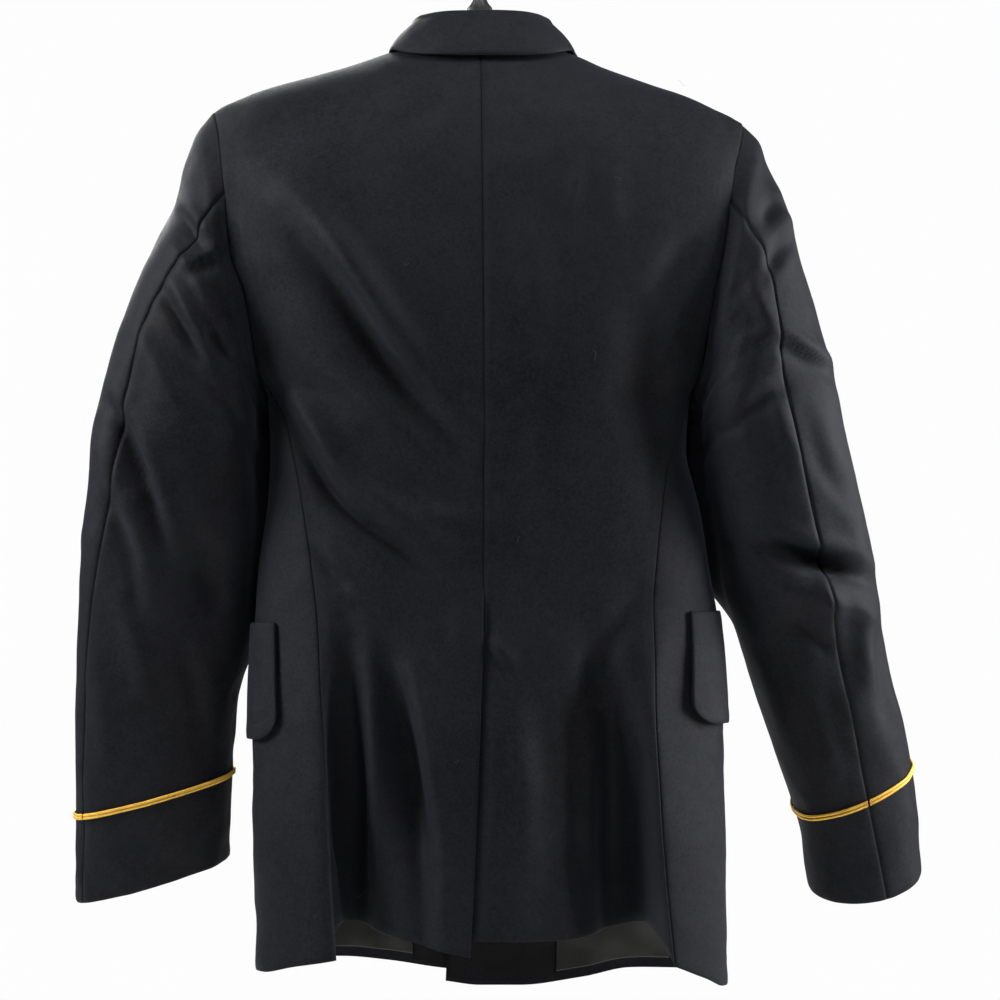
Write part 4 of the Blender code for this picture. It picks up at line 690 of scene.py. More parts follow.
def shell(name, outer, inner, finishes, node, seamShade, turnedUp=None):
    # a closed wall between two nets of points. Slot 0 is the outside, slot 1 the inside.
    rows, columns = outer.shape[:2]
    count = rows * columns
    index = np.arange(count).reshape(rows, columns)
    a, b, c, d = index[:-1, :-1], index[:-1, 1:], index[1:, 1:], index[1:, :-1]
    face = np.stack([a, b, c, d], axis=-1).reshape(-1, 4)
    back = np.stack([a, d, c, b], axis=-1).reshape(-1, 4) + count
    border = np.concatenate([index[0, :-1], index[:-1, -1], index[-1, :0:-1], index[:0:-1, 0]])
    ahead = np.roll(border, -1)
    rim = np.stack([border, border + count, ahead + count, ahead], axis=-1)
    points = np.concatenate([outer.reshape(-1, 3), inner.reshape(-1, 3)])
    faces = np.concatenate([face, back, rim])
    first, second, third, fourth = points[faces].transpose(1, 0, 2)
    volume = np.sum(np.cross(first, second) * third) + np.sum(np.cross(first, third) * fourth)
    if volume < 0:
        faces = faces[:, ::-1]
    inside = np.full(len(back), min(1, len(finishes) - 1))
    if turnedUp is not None:
        inside[turnedUp.ravel()] = 0
    slots = np.concatenate([np.zeros(len(face)), inside, np.zeros(len(rim))]).astype(np.int32)
    across, _, _, up = edgeDistances(outer)
    across = across - across[:, columns // 2 : columns // 2 + 1]
    uv = np.stack([across, up], axis=-1).reshape(-1, 2)
    uv, seamShade = (np.concatenate([values, values]) for values in (uv, seamShade.ravel()))
    return place(name, meshOf(name, points, faces, uv, slots, seamShade), finishes, node)


def lengthsAlong(points, axis):
    lengths = np.cumsum(np.linalg.norm(np.diff(points, axis=axis), axis=-1), axis=axis)
    return np.concatenate([0 * np.take(points, [0], axis)[..., 0], lengths], axis=axis)


def edgeDistances(points):
    # how far each point lies from the first and last column and from the first and last row
    across, down = lengthsAlong(points, 1), lengthsAlong(points, 0)
    return across, across[:, -1:] - across, down, down[-1:] - down


def seamForm(distance, seam):
    # the cloth dips into a seam and lies a little proud where its turned allowance is pressed flat below
    groove = -seam["sink"] * bell(distance / seam["reach"])
    return groove + seam["swell"] * bell((distance - 0.007) / 0.0045)


seamSettings = {"sink": 0.0005, "reach": 0.0007, "swell": 0.00022}
edgeSettings = {"sink": 0.0004, "reach": 0.0009, "swell": 0.00030}
sewnEdges = (seamSettings, seamSettings, seamSettings, edgeSettings)
clothSettings = {
    "wall": 0.0020,
    "turnUp": 0.034,
    "gap": -0.00012,  # neighbours meet inside the seam
    "seamShade": 0.0014,  # how far the painted seam shade reaches from a seam or an edge
    "facing": 1.6,
    "creases": {"back": 1.5, "front": 2.4, "side": 1.0},
    "ringScale": 0.0021,  # metres for each degree round the body
    "wobble": ((0.055, 0.0014, 11), (0.024, 0.00065, 12), (0.010, 0.00018, 13)),  # size, height, seed
}


def wobble(angle, z):
    across = angle * clothSettings["ringScale"]
    return sum(height * yarnNoise(across, z, size, seed) for size, height, seed in clothSettings["wobble"])


# painted shade: full at a seam or an edge and fading with distance from it
def seamShadeNear(distance):
    return bell(distance / clothSettings["seamShade"])


# Creases: height and width in mm, bank, and then the points as (x, z) in mm.
creaseRows = {
    "back": [
        (-6.2, 11, 0.55, (157, -262), (118, -312), (80, -372), (38, -425), (2, -462)),
        (4.2, 13, 0.0, (168, -222), (128, -268), (88, -328), (44, -385)),
        (3.0, 9, 0.0, (136, -372), (104, -400), (66, -432), (30, -462)),
        (-6.4, 7.5, 0.6, (170, -396), (150, -436), (118, -488), (72, -524), (28, -556)),
        (4.6, 8.5, 0.0, (158, -392), (132, -428), (104, -468), (58, -504), (18, -534)),
        (-2.6, 5, 0.4, (140, -522), (124, -546), (104, -562)),
        (1.4, 5, 0.0, (-4, -598), (-16, -612), (-30, -622)),
        (-1.6, 5, 0.4, (-2, -606), (-14, -622), (-24, -634)),
        (1.5, 8, 0.0, (58, -497), (29, -503), (1, -505)),
        (-1.6, 7, 0.3, (66, -462), (40, -482), (8, -500)),
        (0.9, 9, 0.0, (14, -560), (17, -592), (15, -625)),
        (-3.0, 14, 0.3, (-136, -322), (-132, -360), (-144, -448), (-143, -505)),
        (-2.4, 12, 0.2, (-180, -277), (-156, -300), (-134, -330)),
        (1.8, 7, 0.0, (-82, -212), (-75, -240), (-68, -266)),
        (1.5, 10, 0.0, (-112, -196), (-104, -236), (-110, -280)),
        (1.3, 12, 0.0, (-30, -250), (-44, -310), (-40, -370)),
        (-1.4, 12, 0.2, (-62, -380), (-48, -440), (-54, -500)),
        (-1.6, 12, 0.2, (20, -140), (50, -180), (92, -196)),
        (-1.6, 12, 0.2, (-26, -132), (-60, -158), (-110, -166)),
        (-4.0, 9, 0.4, (78, -610), (66, -666), (54, -731), (42, -788)),
        (3.4, 10, 0.0, (92, -640), (89, -731), (87, -820)),
        (1.6, 13, 0.0, (-23, -634), (-39, -715), (-47, -779)),
        (-2.8, 12, 0.3, (-140, -550), (-100, -610), (-74, -664)),
        (2.6, 12, 0.0, (-150, -596), (-132, -640), (-130, -700)),
        (-15.0, 12, 0.05, (108, -585), (109, -650), (107, -740), (108, -830), (110, -900)),
        (-15.0, 15, 0.05, (-88, -600), (-104, -660), (-110, -740), (-112, -830), (-110, -900)),
        (-6.0, 11, 0.3, (80, -600), (62, -690), (50, -790), (46, -880)),
        (-4.6, 26, 0.0, (-32, -640), (-44, -720), (-54, -800), (-58, -880)),
        (-4.0, 10, 0.2, (-72, -640), (-78, -720), (-84, -800), (-86, -880)),
    ],
    "front": [
        (-1.8, 9, 0.4, (-150, -262), (-110, -318), (-60, -372), (-14, -398)),
        (-1.6, 8, 0.4, (158, -278), (118, -330), (70, -378), (22, -402)),
        (1.2, 10, 0.0, (-140, -240), (-100, -292), (-66, -340)),
        (-1.4, 6, 0.5, (-150, -430), (-118, -462), (-70, -480), (-24, -486)),
        (-1.2, 6, 0.4, (150, -440), (112, -468), (64, -484)),
        (1.0, 7, 0.0, (-120, -520), (-80, -540), (-36, -548)),
        (-1.5, 11, 0.3, (72, -600), (66, -690), (70, -780), (74, -850)),
        (1.4, 12, 0.0, (-84, -620), (-78, -720), (-82, -830)),
        (-1.0, 8, 0.2, (-46, -660), (-40, -750), (-44, -840)),
        (0.9, 6, 0.0, (100, -205), (112, -240), (116, -282)),
    ],
    "side": [
        (-1.5, 9, 0.3, (176, -470), (172, -560), (176, -640)),
        (-1.5, 9, 0.3, (-172, -470), (-176, -560), (-180, -640)),
    ],
}


def bodyCreases(points, normals):
    # the creases of each side show only where the cloth faces that way
    facing = clothSettings["facing"] * normals[..., 1]
    shown = {"back": ease(facing), "front": ease(-facing), "side": 1 - ease(np.abs(facing))}
    x, z = points[..., 0], points[..., 2]
    rows = clothSettings["creases"].items()
    return sum(strength * creaseHeight(x, z, creaseRows[kind]) * shown[kind] for kind, strength in rows)


def pullIn(points, gap):
    moved = points.copy()
    moved[:, 0] += unit(points[:, 1] - points[:, 0]) * gap
    moved[:, -1] += unit(points[:, -2] - points[:, -1]) * gap
    return moved


def onBody(angles, heights):
    return body(angles, heights), bodyNormal(angles, heights)


def nodeOf(name):
    # pocketFlapLeft stands in for the node pocket_flap_left
    return "".join(f"_{letter.lower()}" if letter.isupper() else letter for letter in name)


def panel(kind, side, angles, heights, edges, finishes, lift=0.0, crease=1.0, faced=0):
    # edges holds the seam form for the first column, the last column, the first row and the last row
    points, normals = onBody(angles, heights)
    lift = lift + crease * (bodyCreases(points, normals) + wobble(angles, heights))
    lift = np.broadcast_to(lift, angles.shape)
    form, seamShade = np.zeros(angles.shape), np.zeros(angles.shape)
    for distance, edge in zip(edgeDistances(points), edges):
        if edge:
            form = form + seamForm(distance, edge)
            # the painted seam shade grows near each sewn edge
            seamShade = np.maximum(seamShade, seamShadeNear(distance))
    outer = pullIn(points + normals * (lift + form)[..., None], clothSettings["gap"])
    wall = innerSettings[kind]["wall"] if kind in innerSettings else clothSettings["wall"]
    inner = pullIn(points + normals * (lift - wall)[..., None], clothSettings["gap"])
    # the hem is turned up in the outer cloth, and a front is faced with it beside its edge
    turnedUp = (edgeDistances(points)[3] < clothSettings["turnUp"])[:-1, :-1]
    turnedUp[:, :faced] = True
    name = kind + sideNames[side]
    shell(name, outer, inner, finishes, nodeOf(name), seamShade, turnedUp)


backSettings = {
    "upperRows": 72,
    "lowerRows": 140,
    "columns": {left: 58, right: 50},
    "neckHalfWidth": 0.0740,
    "neckDrop": -0.1220,
    "ventTop": -0.6000,
    "ventStep": 0.0034,
    "ventOpen": (0.0380, 0.0190, 0.0010, -0.0120),
    "ventClosed": (0.0, -0.0020, -0.0040, -0.0140),
}


def neckline(side, x):
    half, drop = backSettings["neckHalfWidth"], backSettings["neckDrop"]
    share = np.clip(np.abs(x) / half, 0, 1)
    neck = between(drop, crestHeight[side](half), share**2.5)
    return np.where(np.abs(x) < half, neck, crestHeight[side](np.abs(x)))


def backPanel(side):
    shares = spread(backSettings["columns"][side], 0.0035)
    if side == left:

        def xAt(z):
            return between(centreBack(z), outerX(left, z, False), shares)

    else:
        vent = np.concatenate([[0, 0.03, 0.08], np.linspace(0, 3, 19)[1:-1]])
        shares = np.concatenate([0 * vent, [0], shares[3:]])
        steps = np.concatenate([vent, np.full(len(shares) - len(vent), 3.0)])
        opened = np.interp(steps, range(4), backSettings["ventOpen"])
        closed = np.interp(steps, range(4), backSettings["ventClosed"])

        def xAt(z):
            parted = ease((backSettings["ventTop"] + 0.004 - z) / 0.016)
            near = centreBack(z) + closed + (opened - closed) * parted
            return between(near, -outerX(right, z, False), shares)

    tops = columnTops(xAt, neckline, side, len(shares))
    tops[-1] = tipHeight[side]
    heights = columnHeights(tops, backHem[side](shares), backSettings["upperRows"], backSettings["lowerRows"])
    angles = angleOfX(xAt(heights), heights, False)
    sink = 0.0
    if side == right:
        # the underlap lies below the left panel's lap edge, and the seam above dips to meet it
        under = np.interp(opened, (-0.012, 0.001), (0, 1)) * (shares == 0)
        sink = backSettings["ventStep"] * under * ease((backSettings["ventTop"] + 0.045 - heights) / 0.038)
    panel("back", side, angles, heights, sewnEdges, [wool, liningSatin], -sink)


sideSettings = {"rows": 150, "columns": 44}


def sidePanelGrid(side, shares, rowShares):
    def angleAt(share, z):
        rear = angleOfX(side * sideSeamX(side, z, False), z, False)
        fore = angleOfX(side * sideSeamX(side, z, True), z, True)
        return between(rear, fore, share)

    tops = np.full(len(shares), seamTop)
    for _ in range(40):  # the tops settle on the underarm curve
        tops = 0.5 * tops + 0.5 * armholeFloor(side, angleAt(shares, tops), tops)
    tops[0] = tops[-1] = seamTop
    heights = between(tops, sideHem[side](shares), rowShares[:, None])
    return angleAt(shares, heights), heights


def sidePanel(side):
    shares, rowShares = spread(sideSettings["columns"], 0.005), spread(sideSettings["rows"], 0.0012)
    panel("side", side, *sidePanelGrid(side, shares, rowShares), sewnEdges, [wool, liningSatin])


frontSettings = {
    "upperRows": 72,
    "lowerRows": 140,
    "columns": 60,
    "lapStep": 0.0070,
    "lapShares": (0.33, 0.48),
    "lapHeights": (-0.320, -0.250),
}


def frontGrid(side, shares, upperRows, lowerRows):
    def xAt(z):
        return between(frontEdge[side](z), side * outerX(side, z, True), shares)

    tops = columnTops(xAt, lambda s, x: crestHeight[s](np.abs(x)), side, len(shares))
    tops[shares == 1] = tipHeight[side]
    heights = columnHeights(tops, frontHem[side](shares), upperRows, lowerRows)
    return angleOfX(xAt(heights), heights, True), heights


def lapSink(side, share, z):
    if side == left:
        return 0 * z
    start, end = frontSettings["lapShares"]
    lowest, highest = frontSettings["lapHeights"]
    across = 1 - np.clip((share - start) / (end - start), 0, 1)
    return frontSettings["lapStep"] * across * ease((highest - z) / (highest - lowest))


def frontPanel(side):
    shares = spread(frontSettings["columns"], 0.0035)
    angles, heights = frontGrid(side, shares, frontSettings["upperRows"], frontSettings["lowerRows"])
    edges = (edgeSettings, *sewnEdges[1:])
    sink, faced = lapSink(side, shares, heights), round(len(shares) * innerSettings["facing"]["to"])
    panel("front", side, angles, heights, edges, [wool, liningSatin], -sink, faced=faced)


innerSettings = {
    "facing": {"from": 0.012, "to": 0.477, "shorter": 0.003, "gap": 0.0006, "wall": 0.0014, "columns": 24},
    "lining": {"from": 0.483, "to": 0.975, "shorter": 0.009, "gap": 0.0015, "wall": 0.0012, "columns": 26},
    "rows": (33, 108),
    "firstRow": 53,
    "puckers": (0.021, 0.0011),  # spacing and height of the lining's loose ripples
}


def innerLayer(side, kind, finish):
    settings = innerSettings[kind]
    shares = between(settings["from"], settings["to"], spread(settings["columns"], 0.004))
    # the layer starts below the second row of the skirt, as its solid does
    grid = frontGrid(side, shares, *innerSettings["rows"])
    angles, heights = (values[innerSettings["firstRow"] :] for values in grid)
    heights = heights[0] + (heights - heights[0]) * (1 + settings["shorter"] / (heights[-1] - heights[0]))
    lift = -(lapSink(side, shares, heights) + clothSettings["wall"] + settings["gap"])
    if kind == "lining":
        spacing, height = innerSettings["puckers"]
        near = np.exp(-(heights - heights[-1:]) / 0.05)
        ripples = np.cos(angles * clothSettings["ringScale"] * 2 * math.pi / spacing + 6 * heights)
        lift = lift + height * near * (ripples - 1) * 0.5
    edges = (edgeSettings, edgeSettings, None, edgeSettings)
    panel(kind, side, angles, heights, edges, [finish], lift)


lapelSettings = {
    "breakHeight": -0.3800,
    "topAtRoll": -0.1585,
    "topAtTip": -0.1880,
    "pastRoll": 0.0015,
    "rows": 64,
    "columns": 36,
    "gap": 0.0010,
    "rollHeight": 0.0030,
    "edges": [  # height, x
        (-0.38, -0.01), (-0.35, 0.026), (-0.31, 0.056), (-0.26, 0.084), (-0.215, 0.106),
        (-0.188, 0.116),
    ],
}
lapelEdge = curveOf(lapelSettings["edges"], 1)


def lapelGrid(side, shares, rows):
    top = between(lapelSettings["topAtRoll"], lapelSettings["topAtTip"], shares)
    z = between(top, lapelSettings["breakHeight"], rows)
    roll = side * frontEdge[side](z) - lapelSettings["pastRoll"]
    x = side * between(roll, lapelEdge(z), shares)
    edge = frontEdge[side](z)
    share = np.clip((x - edge) / (side * outerX(side, z, True) - edge), 0, 1)
    return angleOfX(x, z, True), z, lapSink(side, share, z)


def lapel(side):
    shares = spread(lapelSettings["columns"], 0.006)
    angles, heights, sink = lapelGrid(side, shares, spread(lapelSettings["rows"], 0.003)[:, None])
    free = 1 - sink / frontSettings["lapStep"]
    width = edgeDistances(body(angles, heights))[0]
    roll = lapelSettings["rollHeight"] * (bell(width / 0.016) - bell(width / 0.0035))
    lift = lapelSettings["gap"] - sink + (0.0012 * (1 - shares) ** 2 + roll) * free + 0.0006 * (1 - free)
    edges = (None, edgeSettings, edgeSettings, edgeSettings)
    panel("lapel", side, angles, heights, edges, [wool], lift + clothSettings["wall"])


flapSettings = {
    "sides": {  # top, bottom, rear x at the top, rear x at the bottom, front x
        left: (-0.5885, -0.6840, 0.1668, 0.1600, 0.110),
        right: (-0.5790, -0.6712, 0.1690, 0.1625, 0.115),
    },
    "corner": 0.020,
    "width": 0.165,
    "crease": 0.5,
    "standTop": 0.0014,
    "standBottom": 0.0032,
    "columns": 72,
    "rows": 36,
}


def flapGrid(side):
    shares = spread(flapSettings["columns"], 0.004)
    rows = spread(flapSettings["rows"], 0.006)[:, None]
    top, bottom, rearTop, rearBottom, foreX = flapSettings["sides"][side]
    rear = angleOfX(side * between(rearTop, rearBottom, rows), np.float64(top), False)
    fore = angleOfX(side * foreX, np.float64(top), True)
    corner = flapSettings["corner"]
    near = np.minimum(shares, 1 - shares) * flapSettings["width"]
    rise = corner - np.sqrt(corner**2 - np.clip(corner - near, 0, corner) ** 2)
    heights = between(top, bottom + rise, rows)
    stand = between(flapSettings["standTop"], flapSettings["standBottom"], rows)
    return between(rear, fore, shares), heights, stand + clothSettings["wall"] + 0 * heights


def pocketFlap(side):
    angles, heights, lift = flapGrid(side)
    edges = (edgeSettings, edgeSettings, seamSettings, edgeSettings)
    panel("pocketFlap", side, angles, heights, edges, [wool], lift, crease=flapSettings["crease"])


sleeveRead = {
    side: [curveOf(rows, column) for column in range(1, 9)] for side, rows in sleeveShape["rings"].items()
}
sleeveSettings = {
    "fine": 4,  # columns between two of the solid's own
    "runs": 150,
    "armholeRows": 11,
    "underColumns": 7,
    "backSeam": 5,
    "frontSeam": 8,
    "headSwell": 0.0022,
    "swing": 0.060,  # how far the inner fold may lean towards the body
    "clear": 0.0012,
    "facing": 1.8,
    "creaseStrength": {"creases": 2.6, "frontCreases": 2.2},
    "girth": 0.09,
    "tuck": (0.0035, 0.0006, 0.0012),  # the seam allowance under the panel: width, gap and wall
    "restFrom": -0.370,
    "restTo": {left: -0.640, right: -0.602},
    "bends": {  # run, angle, reach along the run, reach in degrees, height
        left: [(0.25, 100, 0.030, 45, -0.006), (0.43, 62, 0.130, 13, -0.006), (0.58, 120, 0.060, 16, -0.005)],
        right: [(0.31, 85, 0.030, 50, -0.005), (0.565, 80, 0.028, 50, -0.008), (0.615, 85, 0.030, 45, 0.005)],
    },
    "creases": {  # seen from behind: height and width in mm, bank, then (x, z) in mm
        left: [
            (-2.6, 6, 0.5, (256, -246), (240, -264), (222, -288)),
            (-2.0, 4.5, 0.4, (240, -309), (224, -300), (204, -290)),
            (-2.8, 6, 0.5, (262, -312), (244, -344), (222, -382)),
            (-2.4, 5.5, 0.4, (220, -346), (212, -364), (200, -382)),
            (-3.4, 7, 0.5, (316, -398), (290, -434), (270, -490), (258, -536)),
            (2.0, 9, 0.0, (320, -430), (300, -462), (284, -508), (272, -548)),
            (-2.0, 9, 0.3, (229, -537), (223, -562), (220, -586)),
            (1.6, 6, 0.0, (262, -268), (244, -290), (226, -318), (214, -352)),
            (1.3, 7, 0.0, (282, -330), (268, -372), (246, -410), (226, -430)),
            (-1.4, 7, 0.3, (318, -470), (300, -500), (288, -540), (284, -590)),
            (1.4, 9, 0.0, (300, -560), (286, -610), (276, -660)),
            (-1.3, 9, 0.2, (252, -600), (240, -640), (236, -690)),
            (1.0, 8, 0.0, (326, -600), (318, -660), (316, -720)),
        ],
        right: [
            (-1.2, 7, 0.4, (-270, -378), (-300, -394), (-336, -414)),
            (2.6, 7, 0.0, (-214, -356), (-240, -356), (-270, -368), (-300, -382)),
            (-2.9, 8, 0.4, (-206, -520), (-250, -532), (-296, -546), (-360, -566)),
            (2.6, 8, 0.0, (-200, -540), (-240, -556), (-280, -568), (-350, -592)),
            (-2.6, 7, 0.3, (-262, -232), (-280, -252), (-294, -280)),
            (2.2, 8, 0.0, (-282, -262), (-296, -300), (-304, -340)),
            (2.0, 9, 0.0, (-306, -420), (-316, -460), (-322, -510)),
            (1.6, 7, 0.0, (-252, -214), (-244, -246), (-262, -286)),
            (1.5, 7, 0.0, (-214, -300), (-226, -336), (-240, -368)),
            (-1.6, 6, 0.3, (-268, -338), (-286, -352), (-300, -366)),
            (1.4, 8, 0.0, (-232, -392), (-244, -430), (-262, -462)),
            (-1.3, 8, 0.2, (-262, -420), (-276, -456), (-300, -488)),
            (1.6, 8, 0.0, (-306, -560), (-318, -600), (-322, -650)),
            (-1.6, 8, 0.3, (-330, -590), (-338, -640), (-344, -690)),
            (1.2, 9, 0.0, (-272, -640), (-286, -690), (-300, -730)),
            (-2.4, 8, 0.4, (-246, -238), (-236, -252), (-228, -268)),
            (-2.0, 6, 0.4, (-248, -275), (-239, -290), (-232, -306)),
            (-1.9, 8, 0.5, (-210, -340), (-244, -361), (-280, -385)),
            (-3.8, 8, 0.5, (-229, -525), (-279, -537), (-318, -545)),
            (2.6, 9, 0.0, (-211, -529), (-252, -545), (-281, -553), (-292, -594)),
            (-2.0, 8, 0.3, (-252, -582), (-273, -598), (-293, -615)),
        ],
    },
    "frontCreases": {
        left: [
            (-2.2, 9, 0.4, (244, -262), (228, -296), (206, -318)),
            (-2.6, 9, 0.5, (298, -420), (262, -452), (222, -470)),
            (-2.2, 8, 0.4, (316, -500), (276, -520), (226, -524)),
            (1.8, 10, 0.0, (320, -540), (282, -556), (232, -560)),
        ],
        right: [
            (-2.2, 9, 0.4, (-240, -268), (-222, -300), (-204, -322)),
            (-2.8, 9, 0.5, (-290, -452), (-252, -484), (-214, -500)),
            (-2.4, 8, 0.4, (-318, -560), (-276, -572), (-236, -566)),
            (1.8, 10, 0.0, (-330, -600), (-290, -612), (-250, -606)),
        ],
    },
}


def sleeveFrame(side, run):
    headX, headZ, innerX, innerZ, middleY, halfDepth, backDrop, _ = [read(run) for read in sleeveRead[side]]
    outer = np.stack([side * headX, middleY, headZ], axis=-1)
    inner = np.stack([side * innerX, middleY, innerZ], axis=-1)
    return outer, inner, halfDepth, backDrop


def sleevePoint(side, run, angle):
    # angle 0 is the sleeve's outer edge, 90 its back and 180 its inner edge
    outer, inner, halfDepth, backDrop = sleeveFrame(side, run)
    turn = np.radians(angle)
    bulge = 1 + 0.05 * np.sin(2 * turn) ** 2
    point = (outer + inner) / 2 + (outer - inner) / 2 * (np.cos(turn) * bulge)[..., None]
    lift = np.zeros(np.shape(angle))
    for atRun, atAngle, runReach, angleReach, height in sleeveSettings["bends"][side]:
        near = ((run - atRun) / runReach) ** 2 + ((angle - atAngle) / angleReach) ** 2
        lift = lift + height * np.exp(-near)
    point[..., 1] += halfDepth * np.sin(turn) * bulge + lift
    point[..., 2] -= backDrop * np.sin(turn)
    point[..., 0] -= side * restOnBody(side, point, angle)
    return point


def restOnBody(side, point, angle):
    # the sleeve's inner fold swings in until it rests lightly along the side panel
    x, y, z = side * point[..., 0], point[..., 1], point[..., 2]
    power = squareness(z)
    depth = np.where(y >= lineY, backDepth(z) - lineY, lineY - frontDepth(z))
    share = np.clip(np.abs(y - lineY) / depth, 0, 0.98)
    bodyX = halfWidth(side, z) * (1 - share**power) ** (1 / power)
    free = np.maximum(x - bodyX - sleeveSettings["clear"], 0)
    high, low = sleeveSettings["restFrom"], sleeveSettings["restTo"][side]
    wanted = sleeveSettings["swing"] * np.exp(-(((angle - 222) / 34) ** 4))
    wanted = wanted * ease((high - z) / 0.07) * ease((z - low) / 0.11)
    return wanted * free / ((wanted**4 + free**4) ** 0.25 + 0.0001)


def armholeLoop(side):
    fine = sleeveSettings["fine"]
    turns = armholeTurn * np.linspace(0, 1, sleeveSettings["armholeRows"] * fine + 1)
    edge = tipHeight[side] + (seamTop - tipHeight[side]) * (1 - np.cos(turns)) / (1 - math.cos(armholeTurn))
    shares = np.linspace(0, 1, sleeveSettings["underColumns"] * fine + 1)
    angles, heights = (values[0, 1:-1] for values in sidePanelGrid(side, shares, np.array([0.0, 1.0])))
    back, front = armholeAngle(side, edge, False), armholeAngle(side, edge[:0:-1], True)
    return np.concatenate([back, angles, front]), np.concatenate([edge, heights, edge[:0:-1]])


def sleeveAngles(side, runs, first):
    # columns keep to the two seams and spread evenly between them
    steps = (-0.06, -0.03, 0, 0.03, 0.06)
    seam = sum(sleeveRead[side][-1](runs + step) for step in steps)[:, None] / len(steps)
    count = len(first)
    start = sleeveSettings["backSeam"] * sleeveSettings["fine"]
    fore = count - sleeveSettings["frontSeam"] * sleeveSettings["fine"]
    front = sleeveShape["frontSeamAngle"]
    goal = np.empty((len(runs), count))
    under = np.arange(start, fore + 1)
    goal[:, under] = seam + (front - seam) * (under - start) / (fore - start)
    upper = np.arange(fore, count + start + 1)
    turned = front + (360 + seam - front) * (upper - fore) / (count + start - fore)
    goal[:, upper % count] = np.where(upper >= count, turned - 360, turned)
    blend = ease(runs / sleeveShape["headRun"])[:, None]
    return first * (1 - blend) + goal * blend


def sleeveSurface(side, runs):
    loopAngles, loopHeights = armholeLoop(side)
    start = body(loopAngles, loopHeights)
    outer, inner = (v for v in sleeveFrame(side, np.float64(0))[:2])
    axis = outer - inner
    along = ((start - inner) @ axis) / (axis @ axis)
    turn = np.degrees(np.arccos(np.clip(2 * along - 1, -1, 1)))
    first = np.where(start[:, 1] >= outer[1], turn, 360 - turn)
    first[0] = 0
    rim = bodyNormal(loopAngles, loopHeights)
    tangent = unit(np.roll(start, -1, axis=0) - np.roll(start, 1, axis=0))
    away = unit(np.cross(tangent, rim)) * side
    away = away * np.sign(np.sum(away * (start - start.mean(axis=0)), axis=1) * -1)[:, None]
    start = start + away * 0.0003
    angles = sleeveAngles(side, runs, first)
    points = sleevePoint(side, runs[:, None] + 0 * angles, angles)
    keep = (1 - ease(runs / sleeveShape["headRun"])) ** 1.5
    points = points + keep[:, None, None] * (start - sleevePoint(side, 0 * first, first))
    ring = np.concatenate([points[:, -1:], points, points[:, :1]], axis=1)
    normals = unit(np.cross(np.gradient(ring, axis=1), np.gradient(ring, axis=0)))[:, 1:-1]
    middle = points.mean(axis=1, keepdims=True)
    normals = normals * np.sign(np.sum(normals * (points - middle), axis=(1, 2)))[:, None, None]
    # at the armhole the rim lies along the panel's rim
    alike = np.sqrt(np.clip(np.sum(normals[0] * rim, axis=1), 0, 1))
    share = alike[None, :, None] * (1 - ease(runs / 0.03))[:, None, None]
    normals = unit(rim * share + normals * (1 - share))
    return points, normals, angles


def sleeveParts(count):
    start = sleeveSettings["backSeam"] * sleeveSettings["fine"]
    fore = count - sleeveSettings["frontSeam"] * sleeveSettings["fine"]
    return {"upper": np.arange(fore, count + start + 1) % count, "under": np.arange(start, fore + 1)}


sleeveCloth = {}


def sleeve(side):
    shares = np.linspace(0, 1, sleeveSettings["runs"] + 1)
    runs = np.unique(np.concatenate([[0, 0.0012, 0.003], (shares**1.15)[1:-1], [0.9965, 0.9985, 1]]))
    points, normals, angles = sleeveSurface(side, runs)
    facing = sleeveSettings["facing"] * normals[..., 1]
    shown = {"creases": ease(facing), "frontCreases": ease(-facing)}
    lift = sum(
        strength * creaseHeight(points[..., 0], points[..., 2], sleeveSettings[kind][side]) * shown[kind]
        for kind, strength in sleeveSettings["creaseStrength"].items()
    )
    turns, down = np.radians(angles), runs[:, None]
    length = sleeveShape["length"]
    wide, deep = np.cos(turns) * sleeveSettings["girth"], np.sin(turns) * sleeveSettings["girth"]
    lift = lift + 0.0014 * yarnNoise(wide + down * length, deep + down * 0.2, 0.045, 21 + side)
    lift = lift + 0.0006 * yarnNoise(wide - down * length, deep, 0.018, 31 + side)
    swell = sleeveSettings["headSwell"] * bell((down - 0.028) / 0.020)
    lift = (lift + swell) * ease(down / 0.05)
    sleeveCloth[side] = runs, points + normals * lift[..., None], normals, angles
    fromSeam, fromHem = down * length, (1 - down) * length
    rise = seamForm(fromSeam, seamSettings) + seamForm(fromHem, edgeSettings)
    # a seam allowance lies under the panel all round the armhole
    away = unit(points[1] - points[0])
    width, gap, thick = sleeveSettings["tuck"]
    tucked = points[0] - away * width - normals[0] * (clothSettings["wall"] + gap)
    for part, columns in sleeveParts(points.shape[1]).items():
        grid, normal = points[:, columns], normals[:, columns]
        first, last, _, _ = edgeDistances(grid)
        raised = lift[:, columns]
        form = (rise + seamForm(first, seamSettings) + seamForm(last, seamSettings) + raised)[..., None]
        near = np.minimum(np.minimum(first, last), np.minimum(fromSeam, fromHem))
        # painted shade along the sleeve's seams, armhole and cuff
        seamShade = seamShadeNear(near)
        outer = pullIn(grid + normal * form, clothSettings["gap"])
        inner = pullIn(grid + normal * (raised[..., None] - clothSettings["wall"]), clothSettings["gap"])
        outer = np.concatenate([tucked[None, columns], outer])
        inner = np.concatenate([(tucked - normals[0] * thick)[None, columns], inner])
        seamShade = np.concatenate([seamShade[:1], seamShade])
        turnedUp = np.broadcast_to(fromHem[:-1] < clothSettings["turnUp"], (len(runs) - 1, len(columns) - 1))
        turnedUp = np.concatenate([turnedUp[:1] | True, turnedUp])
        name = f"{part}Sleeve{sideNames[side]}"
        shell(name, outer, inner, [wool, liningSatin], nodeOf(name), seamShade, turnedUp)


